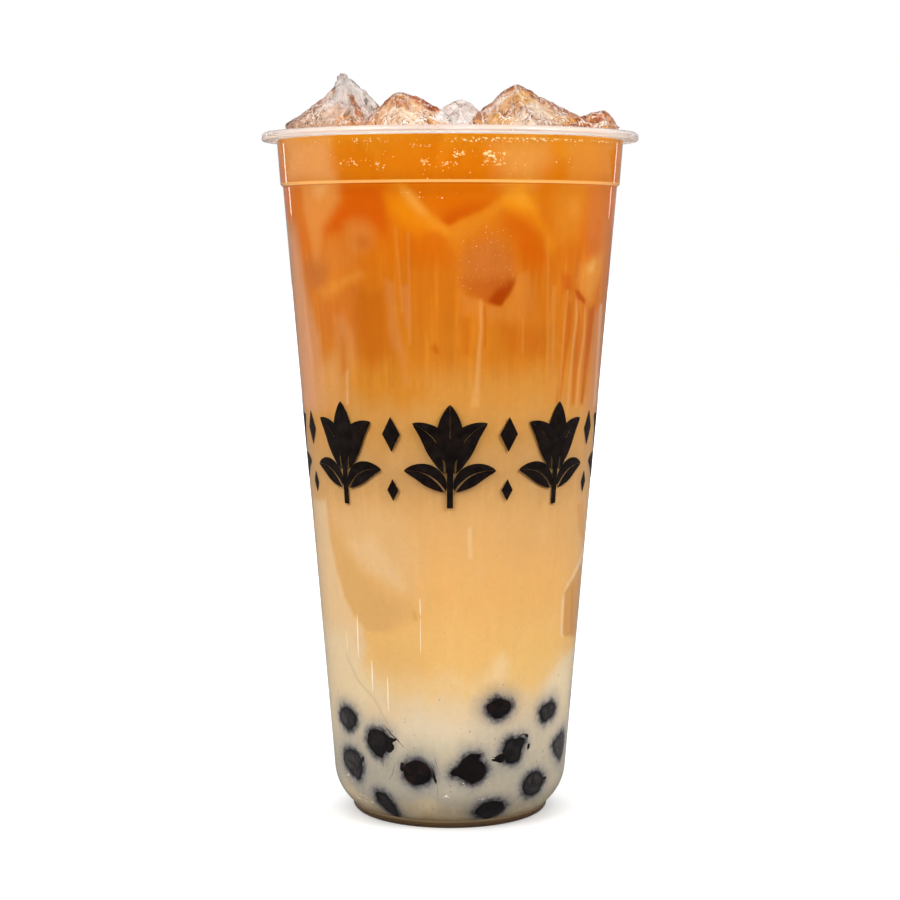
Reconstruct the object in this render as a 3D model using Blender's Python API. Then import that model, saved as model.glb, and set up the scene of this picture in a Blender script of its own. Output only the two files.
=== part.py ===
# Bubble tea in a clear U-shaped cup: milk with tapioca pearls, milk tea above it,
# tea on top, and ice heaped over the rim.
# Metres, +Z up. The origin is the centre of the foot, on the table.

import math
import random

import bmesh
import bpy
from mathutils import Matrix, Vector

MM = 0.001

# Cup: the driving sizes
RIM_RADIUS = 47.5 * MM
CUP_HEIGHT = 172.9 * MM
WALL = 0.9 * MM
SEGMENTS = 48
SMOOTH_ANGLE = 35.0

# Cup: body and bottom corner
CORNER_RADIUS = 12.55 * MM
CORNER_CENTRE = (17.3 * MM, 12.0 * MM)
CORNER_FOOT_HEIGHT = 2.2 * MM
CORNER_STEPS = 4
BODY_FLARE = 0.0836
FLOOR_HEIGHT = 2.4 * MM

# Cup: stacking ledge and collar under the rim
LEDGE_DROP = 13.6 * MM
LEDGE_RISE = 0.8 * MM
LEDGE_WIDTH = 0.65 * MM
COLLAR_FLARE = 0.075

# Cup: rolled rim, a flange with a skirt that turns down
RIM_FLANGE = 1.4 * MM
RIM_SKIRT = 2.8 * MM
RIM_ROUND = 1.0 * MM
RIM_MOUTH = 1.6 * MM
COLLAR_FILLET = 0.5 * MM

# Cup: foot ring round a raised base
FOOT_RADIUS = 25.1 * MM
FOOT_ROUND = 1.4 * MM
FOOT_INSIDE = 21.6 * MM
BASE_RISE = 1.2 * MM
BASE_BEVEL = 0.8 * MM

# Drink: the layers and the clearance to what they touch
GAP = 0.3 * MM
LEVEL = CUP_HEIGHT - 2.7 * MM
MILK_TOP = 38.0 * MM
MILK_TEA_TOP = 111.0 * MM

# Pearls: size, and how much they differ
PEARL_DIAMETER = 9.8 * MM
PEARL_SIZES = (0.94, 1.04)
PEARL_WIDTHS = (0.95, 1.03)
PEARL_HEIGHTS = (0.94, 1.02)
PEARL_SUBDIVISIONS = 2
PEARL_SEED = 11

# Pearls that show through the front: angle from the front in degrees, height, width of the
# patch pressed against the wall
FRONT_PEARLS = (
    (-60, 26.0 * MM, 5.6 * MM),
    (-36, 21.5 * MM, 7.0 * MM),
    (-61, 14.0 * MM, 7.4 * MM),
    (-16, 15.0 * MM, 7.4 * MM),
    (-39, 5.5 * MM, 6.4 * MM),
    (24, 31.0 * MM, 5.8 * MM),
    (57, 28.0 * MM, 5.8 * MM),
    (34, 20.0 * MM, 7.0 * MM),
    (82, 16.5 * MM, 6.6 * MM),
    (10, 16.0 * MM, 7.8 * MM),
    (52, 9.5 * MM, 6.6 * MM),
    (24, 4.5 * MM, 6.6 * MM),
    (88, 28.5 * MM, 5.6 * MM),
)

# Pearls round the back: staggered rows of height, first angle and count
BACK_ROWS = (
    (5.5 * MM, 94, 6),
    (17.0 * MM, 112, 5),
    (28.0 * MM, 130, 4),
)
BACK_STEP = 36.0
BACK_ANGLE_JITTER = 4.0
BACK_HEIGHT_JITTER = 1.4 * MM
BACK_PATCHES = (5.61 * MM, 7.26 * MM)
BACK_SEED = 7

# Ice: the lumps heaped in the mouth, each a melted block stood on a corner. In millimetres,
# its peak and the three corners next to the peak: left, right and front
ICE_LUMPS = {
    "ice_left": ((-27.4, -3, 188), (-41.5, 1, 172.5), (-17, 6, 179), (-22.5, -17, 171.5)),
    "ice_left_low": ((-33.5, 15, 176.2), (-38, 24, 171.5), (-24, 18, 172.5), (-38, 6, 171.5)),
    "ice_front_left": ((-11.9, -22, 181.9), (-22.5, -19, 172.5), (-1.5, -15, 177.8), (-10, -37, 172)),
    "ice_front_right": ((16.8, -16.5, 184.2), (3, -11, 174.5), (33, -8, 176.4), (19, -34, 172)),
    "ice_front_low": ((4, -33, 173.3), (-4, -32, 170.6), (11, -28, 171), (5, -41, 170)),
    "ice_right": ((37.8, -3, 178.3), (27, 3, 175), (43.5, 4, 172.5), (36, -15, 172)),
    "ice_right_low": ((35, 16, 176.6), (26, 14, 173.5), (36, 26, 171.5), (41, 8, 171.5)),
    "ice_middle": ((-6, 1, 177.2), (-17, 5, 173), (6, 5, 173.5), (-3, -11, 171.5)),
    "ice_back": ((2.9, 15, 182.4), (-9, 20, 177), (14, 21, 177), (3, 3, 175)),
    "ice_back_low": ((4, 33, 177.6), (-7, 36, 173.5), (14, 37, 173), (5, 23, 173.5)),
    "ice_back_left": ((-17, 23, 179.4), (-30, 27, 174), (-6, 32, 175), (-20, 9, 174.5)),
    "ice_back_right": ((20, 23, 179.2), (11, 33, 173.5), (33, 29, 174), (20, 8, 174)),
}
ICE_GRID = 3
ICE_SHARPNESS = 9
ICE_DIMPLE = 0.12
ICE_FLANK = 0.03
ICE_FILM = 0.6 * MM
ICE_SPACING = 1.2 * MM
ICE_NEIGHBOUR_REACH = 34.0 * MM
ICE_POCKET = 0.4 * MM


# Profiles

def arc(centre, radius, start, end, steps):
    """Points (r, z) on an arc, with angles in degrees from +r towards +z."""
    points = []
    for i in range(steps + 1):
        angle = math.radians(start + (end - start) * i / steps)
        points.append((centre[0] + radius * math.cos(angle), centre[1] + radius * math.sin(angle)))
    return points


def corner_points(inset, foot_height):
    """The bottom corner, offset inwards, from its foot up to where the wall starts."""
    radius = CORNER_RADIUS - inset
    low = math.degrees(math.asin((foot_height - CORNER_CENTRE[1]) / radius))
    high = math.degrees(math.atan(-BODY_FLARE))
    return arc(CORNER_CENTRE, radius, low, high, CORNER_STEPS)


def corner_top(inset):
    """Radius and height where the bottom corner, offset inwards, runs into the wall."""
    angle = math.atan(-BODY_FLARE)
    radius = CORNER_RADIUS - inset
    return CORNER_CENTRE[0] + radius * math.cos(angle), CORNER_CENTRE[1] + radius * math.sin(angle)


def ledge_height():
    return CUP_HEIGHT - LEDGE_DROP


def body_radius(height, inset):
    """Radius of the wall below the ledge."""
    start_radius, start_height = corner_top(inset)
    return start_radius + BODY_FLARE * (height - start_height)


def collar_radius(height, inset):
    """Radius of the wall above the ledge."""
    top_of_ledge = ledge_height() + LEDGE_RISE
    return body_radius(ledge_height(), inset) + LEDGE_WIDTH + COLLAR_FLARE * (height - top_of_ledge)


def wall_radius(height, inset):
    """Radius of the wall at a height, for the outer face (inset 0) or a face inside it."""
    if height < corner_top(inset)[1]:
        reach = (CORNER_RADIUS - inset) ** 2 - (height - CORNER_CENTRE[1]) ** 2
        return CORNER_CENTRE[0] + math.sqrt(max(reach, 0.0))
    if height <= ledge_height():
        return body_radius(height, inset)
    return collar_radius(height, inset)


def wall_normal(height):
    """Outward direction (r, z) of the wall's face at a height."""
    angle = math.atan(-BODY_FLARE)
    if height < corner_top(0.0)[1]:
        angle = math.asin(max(-1.0, (height - CORNER_CENTRE[1]) / CORNER_RADIUS))
    return math.cos(angle), math.sin(angle)


def ledge_points(inset):
    """The step out to the collar, from below."""
    low = ledge_height()
    return [
        (body_radius(low, inset), low),
        (collar_radius(low + LEDGE_RISE, inset), low + LEDGE_RISE),
    ]


def rim_points():
    """The rim, from the collar's outside, over the flange and down to the collar's inside."""
    top = CUP_HEIGHT
    under = top - RIM_FLANGE
    skirt_low = top - RIM_SKIRT
    lip = RIM_ROUND / 2
    points = [(collar_radius(under, 0.0), under - COLLAR_FILLET)]
    points.append((collar_radius(under, 0.0) + COLLAR_FILLET, under))
    points.append((RIM_RADIUS - RIM_ROUND, under))
    points += arc((RIM_RADIUS - lip, skirt_low + lip), lip, 180, 360, 3)
    points += arc((RIM_RADIUS - RIM_ROUND, top - RIM_ROUND), RIM_ROUND, 0, 90, 3)
    inner = collar_radius(top - RIM_MOUTH, WALL)
    points += arc((inner + RIM_MOUTH, top - RIM_MOUTH), RIM_MOUTH, 90, 180, 3)
    return points


def cup_profile():
    """Half of the cup's section, from the underside's centre round to the floor's centre."""
    profile = [(0.0, BASE_RISE), (FOOT_INSIDE - BASE_BEVEL, BASE_RISE), (FOOT_INSIDE, 0.0)]
    profile += arc((FOOT_RADIUS - FOOT_ROUND, FOOT_ROUND), FOOT_ROUND, -90, 0, 2)
    profile += corner_points(0.0, CORNER_FOOT_HEIGHT)
    profile += ledge_points(0.0)
    profile += rim_points()
    profile += reversed(ledge_points(WALL))
    profile += reversed(corner_points(WALL, FLOOR_HEIGHT))
    profile.append((0.0, FLOOR_HEIGHT))
    return profile


def fill_profile(low, high):
    """Section of what fills the cup between two heights, a gap inside the wall."""
    inset = WALL + GAP
    profile = [(0.0, low)]
    if low < corner_top(inset)[1]:
        profile += corner_points(inset, low)
    else:
        profile.append((wall_radius(low, inset), low))
    if low < ledge_height() < high:
        profile += ledge_points(inset)
    profile.append((wall_radius(high, inset), high))
    profile.append((0.0, high))
    return profile


# Objects

def clear_scene():
    for obj in list(bpy.data.objects):
        bpy.data.objects.remove(obj, do_unlink=True)


def material(name, colour, roughness, transmission=0.0, ior=1.45):
    """A Principled BSDF of one colour."""
    made = bpy.data.materials.new(name)
    made.use_nodes = True
    shader = made.node_tree.nodes["Principled BSDF"]
    shader.inputs["Base Color"].default_value = (*colour, 1.0)
    shader.inputs["Roughness"].default_value = roughness
    shader.inputs["Metallic"].default_value = 0.0
    shader.inputs["Transmission Weight"].default_value = transmission
    shader.inputs["IOR"].default_value = ior
    return made


def object_from(bm, name, surface=None):
    mesh = bpy.data.meshes.new(name)
    bm.normal_update()
    bmesh.ops.recalc_face_normals(bm, faces=bm.faces)
    bm.to_mesh(mesh)
    bm.free()
    mesh.shade_smooth()
    mesh.set_sharp_from_angle(angle=math.radians(SMOOTH_ANGLE))
    obj = bpy.data.objects.new(name, mesh)
    bpy.context.scene.collection.objects.link(obj)
    if surface:
        mesh.materials.append(surface)
    return obj


def turned(name, profile, surface=None):
    """A body of revolution about Z from a section that starts and ends on the axis."""
    bm = bmesh.new()
    corners = [bm.verts.new((r, 0.0, z)) for r, z in profile]
    edges = [bm.edges.new(pair) for pair in zip(corners, corners[1:])]
    bmesh.ops.spin(
        bm,
        geom=corners + edges,
        axis=(0.0, 0.0, 1.0),
        cent=(0.0, 0.0, 0.0),
        angle=math.tau,
        steps=SEGMENTS,
        use_merge=True,
    )
    bmesh.ops.remove_doubles(bm, verts=bm.verts, dist=1e-6)
    return object_from(bm, name, surface)


def make_guide(obj):
    """A cutter or a guide: drawn as wire, and not part of the object."""
    obj.hide_render = True
    obj.display_type = "WIRE"


def cut(obj, operation, other):
    """A Boolean with one object, or with every object of a collection."""
    modifier = obj.modifiers.new(operation.lower(), "BOOLEAN")
    modifier.operation = operation
    if isinstance(other, bpy.types.Collection):
        modifier.operand_type = "COLLECTION"
        modifier.collection = other
    else:
        modifier.object = other


def guide_collection(name):
    made = bpy.data.collections.new(name)
    bpy.context.scene.collection.children.link(made)
    made.hide_render = True
    return made


def move_to(obj, collection):
    bpy.context.scene.collection.objects.unlink(obj)
    collection.objects.link(obj)


# Pearls

def pearl_places():
    """Angle, height and patch width of every pearl: the front ones, then the rows at the back."""
    places = list(FRONT_PEARLS)
    draw = random.Random(BACK_SEED)
    for height, first, count in BACK_ROWS:
        for i in range(count):
            angle = first + BACK_STEP * i + draw.uniform(-1, 1) * BACK_ANGLE_JITTER
            lift = draw.uniform(-1, 1) * BACK_HEIGHT_JITTER
            places.append((angle, height + lift, draw.uniform(*BACK_PATCHES)))
    return places


def pearl_mesh(name, radius, stretch, surface=None):
    bm = bmesh.new()
    bmesh.ops.create_icosphere(bm, subdivisions=PEARL_SUBDIVISIONS, radius=radius)
    bmesh.ops.scale(bm, vec=stretch, verts=bm.verts)
    return object_from(bm, name, surface)


def pearl_pose(angle, height, patch, radius):
    """World matrix of a pearl whose cap of the patch's width presses on the wall at this height."""
    inset = WALL + GAP
    out_r, out_z = wall_normal(height)
    depth = math.sqrt(radius ** 2 - (patch / 2) ** 2)
    r = wall_radius(height, inset) - depth * out_r
    z = height - depth * out_z
    turn = math.radians(angle)
    place = Vector((r * math.sin(turn), -r * math.cos(turn), z))
    return Matrix.Translation(place) @ Matrix.Rotation(turn, 4, "Z")


def build_pearls(surface, envelope, pockets):
    """Each pearl, flattened where it presses on the wall and the floor, and its pocket in the milk."""
    draw = random.Random(PEARL_SEED)
    for number, (angle, height, patch) in enumerate(pearl_places(), 1):
        radius = PEARL_DIAMETER / 2 * draw.uniform(*PEARL_SIZES)
        stretch = (draw.uniform(*PEARL_WIDTHS), 1.0, draw.uniform(*PEARL_HEIGHTS))
        pose = pearl_pose(angle, height, patch, radius)
        pearl = pearl_mesh(f"pearl_{number:02d}", radius, stretch, surface)
        pearl.matrix_world = pose
        cut(pearl, "INTERSECT", envelope)
        pocket = pearl_mesh(f"pearl_pocket_{number:02d}", radius + GAP, stretch)
        pocket.matrix_world = pose
        make_guide(pocket)
        move_to(pocket, pockets)


# Ice

def ice_frame(name):
    """Centre of a lump and the half edges that run from it towards the corners by the peak."""
    peak, *corners = (Vector(point) * MM for point in ICE_LUMPS[name])
    halves = [(peak - corner) / 2 for corner in corners]
    return peak - sum(halves, Vector()), halves


def crowding_planes(name):
    """Planes (normal, distance from the lump's centre) halfway to each neighbour."""
    centre, halves = ice_frame(name)
    size = sum(half.length for half in halves)
    planes = []
    for other in ICE_LUMPS:
        other_centre, other_halves = ice_frame(other)
        across = other_centre - centre
        if other != name and across.length < ICE_NEIGHBOUR_REACH:
            share = size / (size + sum(half.length for half in other_halves))
            planes.append((across.normalized(), across.length * share - ICE_SPACING / 2))
    return planes


def melted(corner_wise):
    """A point of the cube from -1 to 1, with edges rounded, flanks drawn in and faces hollowed."""
    reach = (sum(abs(value) ** ICE_SHARPNESS for value in corner_wise) / 3.0) ** (1.0 / ICE_SHARPNESS)
    least, middle, _ = sorted(abs(value) for value in corner_wise)
    flank = 1.0 - least ** 2
    face = flank * (1.0 - middle ** 2)
    return corner_wise * ((1.0 - ICE_FLANK * flank) * (1.0 - ICE_DIMPLE * face) / reach)


def kept_off(point, centre, planes):
    """The point, moved back off the neighbours and off the wall."""
    for normal, distance in planes:
        over = (point - centre).dot(normal) - distance
        if over > 0:
            point = point - normal * over
    limit = wall_radius(point.z, WALL + GAP) - ICE_FILM
    reach = math.hypot(point.x, point.y)
    if reach > limit:
        point = Vector((point.x * limit / reach, point.y * limit / reach, point.z))
    return point


def ice_mesh(name, margin, surface=None):
    """A melted block. A margin swells it along its normals."""
    centre, halves = ice_frame(name)
    planes = crowding_planes(name)
    bm = bmesh.new()
    bmesh.ops.create_cube(bm, size=2.0)
    bmesh.ops.subdivide_edges(bm, edges=bm.edges, cuts=ICE_GRID - 1, use_grid_fill=True)
    for vert in bm.verts:
        share = melted(vert.co)
        point = centre + sum((half * part for half, part in zip(halves, share)), Vector())
        vert.co = kept_off(point, centre, planes)
    bm.normal_update()
    bmesh.ops.recalc_face_normals(bm, faces=bm.faces)
    bmesh.ops.triangulate(bm, faces=bm.faces)
    bm.normal_update()
    for vert in bm.verts:
        vert.co += vert.normal * margin
    obj_name = f"{name}_pocket" if margin else name
    return object_from(bm, obj_name, surface)


def build_ice(surface, pockets):
    """Each lump and its pocket in the tea."""
    for name in ICE_LUMPS:
        ice_mesh(name, 0.0, surface)
        pocket = ice_mesh(name, ICE_POCKET)
        make_guide(pocket)
        move_to(pocket, pockets)


# The whole drink

def build():
    clear_scene()
    clear_plastic = material("clear_plastic", (0.97, 0.98, 0.98), 0.08, transmission=1.0, ior=1.49)
    milk = material("milk", (0.82, 0.74, 0.60), 0.35)
    milk_tea = material("milk_tea", (0.84, 0.47, 0.16), 0.35)
    tea = material("tea", (0.74, 0.19, 0.02), 0.3)
    tapioca = material("tapioca", (0.012, 0.008, 0.008), 0.3)
    ice = material("ice", (0.96, 0.97, 0.98), 0.05, transmission=1.0, ior=1.31)

    floor = FLOOR_HEIGHT + GAP
    envelope = turned("fill_guide", fill_profile(floor, LEVEL))
    make_guide(envelope)
    pearl_pockets = guide_collection("pearl_pockets")
    ice_pockets = guide_collection("ice_pockets")

    turned("cup", cup_profile(), clear_plastic)
    milk_layer = turned("milk_layer", fill_profile(floor, MILK_TOP), milk)
    turned("milk_tea_layer", fill_profile(MILK_TOP + GAP, MILK_TEA_TOP), milk_tea)
    tea_layer = turned("tea_layer", fill_profile(MILK_TEA_TOP + GAP, LEVEL), tea)
    build_pearls(tapioca, envelope, pearl_pockets)
    build_ice(ice, ice_pockets)
    cut(milk_layer, "DIFFERENCE", pearl_pockets)
    cut(tea_layer, "DIFFERENCE", ice_pockets)


build()
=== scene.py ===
# Bubble tea in a clear U-shaped cup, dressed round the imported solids.
# Lengths in the dictionaries are millimetres and angles are degrees, unless a note says otherwise.
# Angles round the cup start at the front (-Y) and grow towards +X. Pixels are the photograph's,
# x and y in turn, and colours are the screen's, from 0 to 255.

import math
import random

import bmesh
import bpy
import numpy as np
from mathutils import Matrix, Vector, noise


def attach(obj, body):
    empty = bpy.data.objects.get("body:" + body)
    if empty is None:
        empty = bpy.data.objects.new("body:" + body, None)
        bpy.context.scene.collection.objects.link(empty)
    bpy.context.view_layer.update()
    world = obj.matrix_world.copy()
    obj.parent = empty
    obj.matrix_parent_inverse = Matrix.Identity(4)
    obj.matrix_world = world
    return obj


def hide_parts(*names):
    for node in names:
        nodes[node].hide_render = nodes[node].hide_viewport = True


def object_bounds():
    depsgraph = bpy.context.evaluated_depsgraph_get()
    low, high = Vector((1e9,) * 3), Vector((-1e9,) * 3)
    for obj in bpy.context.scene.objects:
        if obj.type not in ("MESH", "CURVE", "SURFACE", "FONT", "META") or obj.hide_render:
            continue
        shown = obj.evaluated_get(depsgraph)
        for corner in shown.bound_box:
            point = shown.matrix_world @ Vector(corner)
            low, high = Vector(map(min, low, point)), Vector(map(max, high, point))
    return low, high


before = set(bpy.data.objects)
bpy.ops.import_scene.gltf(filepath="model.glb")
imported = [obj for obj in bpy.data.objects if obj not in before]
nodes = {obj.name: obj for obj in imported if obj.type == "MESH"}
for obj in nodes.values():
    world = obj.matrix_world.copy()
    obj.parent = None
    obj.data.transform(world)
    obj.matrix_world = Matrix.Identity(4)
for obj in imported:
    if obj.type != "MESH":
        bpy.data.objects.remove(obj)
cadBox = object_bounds()
scene = bpy.context.scene
mm = 0.001
print("frame loaded:", len(nodes), "nodes")


# Node helpers

def linear(colour):
    # screen colour to linear light, with alpha
    shares = [value / 255.0 for value in colour]
    return (*(s / 12.92 if s <= 0.04045 else ((s + 0.055) / 1.055) ** 2.4 for s in shares), 1.0)


class Tree:
    # a node tree, and short ways to add to it: a value is a number, a colour or a node's output
    def __init__(self, tree):
        self.tree = tree

    def feed(self, socket, value):
        if isinstance(value, bpy.types.NodeSocket):
            self.tree.links.new(value, socket)
        else:
            socket.default_value = value

    def add(self, kind, inputs=None, **settings):
        node = self.tree.nodes.new("ShaderNode" + kind)
        for key, value in settings.items():
            setattr(node, key, value)
        for key, value in (inputs or {}).items():
            self.feed(node.inputs[key], value)
        return node

    def math(self, operation, *values, clamp=False):
        return self.add("Math", dict(enumerate(values)), operation=operation, use_clamp=clamp).outputs[0]

    def times(self, first, second, clamp=False):
        return self.math("MULTIPLY", first, second, clamp=clamp)

    def mix(self, share, first, second, blend="MIX"):
        sockets = {0: share, 6: first, 7: second}
        return self.add("Mix", sockets, data_type="RGBA", blend_type=blend, clamp_factor=True).outputs[2]

    def lay(self, colour, paint, mask, depth=None, blend="MIX"):
        # paint over a colour where the mask is, and how deep
        return self.mix(self.times(mask, depth) if depth else mask, colour, paint, blend)

    def marked(self, colour):
        # the painted marks over a colour: they are kept as colour times cover, and cover
        mark = self.add("Attribute", attribute_name="marks").outputs
        return self.mix(1.0, self.mix(mark["Alpha"], colour, (0.0, 0.0, 0.0, 1.0)), mark["Color"], "ADD")

    def attribute(self, name):
        return self.add("Attribute", attribute_name=name).outputs["Fac"]

    def remap(self, value, low, high, lowOut=0.0, highOut=1.0, smooth=True):
        sockets = {"Value": value, "From Min": low, "From Max": high, "To Min": lowOut, "To Max": highOut}
        kind = "SMOOTHSTEP" if smooth else "LINEAR"
        return self.add("MapRange", sockets, interpolation_type=kind).outputs[0]

    def stretched(self, vector, scale):
        return self.add("VectorMath", {0: vector, 1: scale}, operation="MULTIPLY").outputs[0]

    def noise(self, vector, scale, detail=2.0, roughness=0.5, distortion=0.0, tall=None):
        # below 1, tall draws the noise out upwards
        if tall:
            vector = self.stretched(vector, (1.0, 1.0, tall))
        sockets = {"Scale": scale, "Detail": detail, "Roughness": roughness, "Distortion": distortion}
        return self.add("TexNoise", {"Vector": vector, **sockets}).outputs["Fac"]

    def cells(self, vector, scale, feature="F1"):
        return self.add("TexVoronoi", {"Vector": vector, "Scale": scale}, feature=feature).outputs["Distance"]

    def ramp(self, value, stops, interpolation="LINEAR"):
        node = self.add("ValToRGB", {0: value})
        node.color_ramp.interpolation = interpolation
        ends = node.color_ramp.elements
        ends[0].color, ends[1].color = stops[0][1], stops[-1][1]
        for spot, colour in stops[1:-1]:      # a ramp holds 32 stops
            ends.new(spot).color = colour
        return node.outputs[0]

    def place(self):
        return self.add("TexCoord").outputs["Object"]

    def height(self, place):
        return self.add("SeparateXYZ", {0: place}).outputs["Z"]

    def band(self, height, levels):
        # full between the two middle levels, and nothing beyond the outer two
        start, full, fading, end = (level * mm for level in levels)
        return self.times(self.remap(height, start, full), self.remap(height, end, fading))


def newMaterial(name, **plain):
    # plain values go on the shader's own sockets
    made = bpy.data.materials.new(name)
    made.use_nodes = True
    shader = made.node_tree.nodes["Principled BSDF"]
    for key, value in plain.items():
        shader.inputs[socketNames[key]].default_value = value
    return made, Tree(made.node_tree), shader


socketNames = {"gloss": "Specular IOR Level", "specularTint": "Specular Tint", "clear": "Transmission Weight",
               "bend": "IOR", "glow": "Emission Color"}


def wire(tree, shader, colour, roughness, height=None, strength=0.0, depth=0.0):
    # colour, roughness and a bump to the shader
    tree.feed(shader.inputs["Base Color"], colour)
    tree.feed(shader.inputs["Roughness"], roughness)
    if height:
        bump = tree.add("Bump", {"Strength": strength, "Distance": depth * mm, "Height": height})
        tree.feed(shader.inputs["Normal"], bump.outputs[0])


def letLampsThrough(made, tree, shader, tint=(1.0, 1.0, 1.0, 1.0)):
    # shadow rays pass straight through clear pieces
    path = tree.add("LightPath").outputs["Is Shadow Ray"]
    clear = tree.add("BsdfTransparent", {"Color": tint}).outputs[0]
    blend = tree.add("MixShader", {0: path, 1: shader.outputs[0], 2: clear}).outputs[0]
    tree.feed(made.node_tree.nodes["Material Output"].inputs["Surface"], blend)


def makeGroup(name, inputs):
    # a shader group that puts out colour, height and roughness
    group = bpy.data.node_groups.new(name, "ShaderNodeTree")
    for socketName, value in inputs.items():
        kind = "NodeSocketColor" if isinstance(value, tuple) else "NodeSocketFloat"
        group.interface.new_socket(socketName, in_out="INPUT", socket_type=kind).default_value = value
    for socketName, kind in (("Colour", "Color"), ("Height", "Float"), ("Roughness", "Float")):
        group.interface.new_socket(socketName, in_out="OUTPUT", socket_type="NodeSocket" + kind)
    return group, Tree(group), group.nodes.new("NodeGroupInput").outputs


def closeGroup(group, colour, height, roughness):
    outside = group.nodes.new("NodeGroupOutput").inputs
    for socket, value in zip(outside, (colour, height, roughness)):
        group.links.new(value, socket)
    return group


# Camera and lights

view = {
    "distance": 553.3,
    "height": 147.1,
    "pitchDown": 5.633,
    "focalPixels": 2167.5,
    "imagePixels": 900,
    "sensor": 36.0,
    "clip": (0.01, 50.0),       # in metres
}


def makeCamera():
    data = bpy.data.cameras.new("photoCamera")
    data.sensor_width = view["sensor"]
    data.lens = view["focalPixels"] / view["imagePixels"] * view["sensor"]
    data.clip_start, data.clip_end = view["clip"]
    camera = bpy.data.objects.new("photoCamera", data)
    camera.location = (0.0, -view["distance"] * mm, view["height"] * mm)
    camera.rotation_euler = (math.radians(90.0 - view["pitchDown"]), 0.0, 0.0)
    scene.collection.objects.link(camera)
    scene.camera = camera


studio = {
    "white": (26.0, 42.0),      # degrees off the four quarters where the world turns from white to dim
    "dim": 0.1,
    "back": (0.4, 0.8),         # where the back quarter begins and is full, as a share of the way back
    "backMirrored": 0.3,        # how bright the back quarter is in reflections
    "floorReach": 6.0,          # in metres
    "floorColour": (0.93, 0.93, 0.925),
    "floorGrain": 0.985,
    "floorGlow": (0.14, 0.7),   # near the cup and far from it, so that the floor runs into the white
    "floorGlowFrom": (0.16, 0.75),
    "floorMirrored": 0.2,       # how bright the floor is in reflections
    "lamps": {
        # place and size in metres, and watts
        "keyLeft": ((-0.95, -0.75, 0.9), (0.7, 0.7), 11.0),
        "fillRight": ((1.05, -0.7, 0.8), (0.6, 0.7), 10.4),
        "stripLeft": ((-0.44, 0.56, 0.153), (0.024, 0.05), 0.014),
        "stripRight": ((0.42, 0.56, 0.153), (0.02, 0.05), 0.008),
        "topBack": ((0.0, 0.4, 0.9), (0.8, 0.4), 2.4),
    },
    "aim": (0.0, 0.0, 0.1),
}


def makeLamp(name, place, size, watts):
    data = bpy.data.lights.new(name, "AREA")
    data.shape = "RECTANGLE"
    data.size, data.size_y = size
    data.energy = watts
    lamp = bpy.data.objects.new(name, data)
    lamp.location = place
    lamp.rotation_euler = (Vector(studio["aim"]) - Vector(place)).to_track_quat("-Z", "Y").to_euler()
    lamp.visible_camera = False
    scene.collection.objects.link(lamp)


def makeWorld():
    # white at the four quarters and dim between them, so that clear edges have something dark to bend
    world = bpy.data.worlds.new("studioWorld")
    world.use_nodes = True
    scene.world = world
    tree = Tree(world.node_tree)
    background = world.node_tree.nodes["Background"].inputs
    background["Color"].default_value = (1.0, 1.0, 1.0, 1.0)
    way = tree.add("TexCoord").outputs["Generated"]
    parts = tree.add("SeparateXYZ", {0: way}).outputs
    level = tree.add("VectorMath", {0: tree.stretched(way, (1.0, 1.0, 0.0))}, operation="LENGTH")
    larger = tree.math("MAXIMUM", tree.math("ABSOLUTE", parts["X"]), tree.math("ABSOLUTE", parts["Y"]))
    share = tree.math("DIVIDE", larger, tree.math("MAXIMUM", level.outputs["Value"], 0.001))
    near, far = (math.cos(math.radians(angle)) for angle in studio["white"])
    patch = tree.remap(share, far, near, studio["dim"], 1.0)
    path = tree.add("LightPath").outputs
    behind = tree.times(tree.remap(parts["Y"], *studio["back"]), path["Is Glossy Ray"])
    patch = tree.times(patch, tree.math("MULTIPLY_ADD", behind, studio["backMirrored"] - 1.0, 1.0))
    tree.feed(background["Strength"], tree.math("MAXIMUM", patch, path["Is Camera Ray"]))


makeCamera()
for lampName, lampValues in studio["lamps"].items():
    makeLamp(lampName, *lampValues)
makeWorld()
scene.view_settings.view_transform = "Standard"
scene.view_settings.look = "None"
scene.view_settings.exposure = 0.0
scene.view_settings.gamma = 1.0


# Mesh helpers

def addPiece(name, mesh, material, slot, *replaced):
    piece = bpy.data.objects.new(name, mesh)
    scene.collection.objects.link(piece)
    mesh.materials.append(material)
    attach(piece, "root")
    if replaced:
        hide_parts(*replaced)


def meshFrom(name, points, faces, sharpAngle=40.0):
    mesh = bpy.data.meshes.new(name)
    mesh.from_pydata((np.asarray(points) * mm).tolist(), [], faces)
    mesh.validate()
    mesh.shade_smooth()
    mesh.set_sharp_from_angle(angle=math.radians(sharpAngle))
    return mesh


def setAttribute(mesh, name, values, kind="FLOAT"):
    layer = mesh.attributes.new(name, kind, "POINT")
    field = "value" if kind == "FLOAT" else "color"
    layer.data.foreach_set(field, np.asarray(values, np.float32).ravel())


def pairs(values):
    return np.reshape(values, (-1, 2)).tolist()


def turnedPoints(profile, columns):
    # rings of a section (r, z) that starts and ends on the axis
    section = np.array(profile[1:-1])
    turn = np.arange(columns) * 2.0 * math.pi / columns
    ups = np.repeat(section[:, 1:], columns, axis=1)
    rings = np.stack([section[:, :1] * np.sin(turn), section[:, :1] * -np.cos(turn), ups], axis=2)
    return np.vstack([[0.0, 0.0, profile[0][1]], rings.reshape(-1, 3), [0.0, 0.0, profile[-1][1]]])


def ringFaces(rows, columns, start=0, inwards=False):
    # the skin over rings of points, with one point before the first ring and one after the last
    last = start + 1 + rows * columns
    top = last - columns
    faces = []
    for j in range(columns):
        k = (j + 1) % columns
        faces += [(start, start + 1 + k, start + 1 + j), (top + j, top + k, last)]
    for low in range(start + 1, top, columns):
        for j in range(columns):
            k = (j + 1) % columns
            faces.append((low + j, low + k, low + columns + k, low + columns + j))
    return [(face[0], *face[:0:-1]) for face in faces] if inwards else faces


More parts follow.
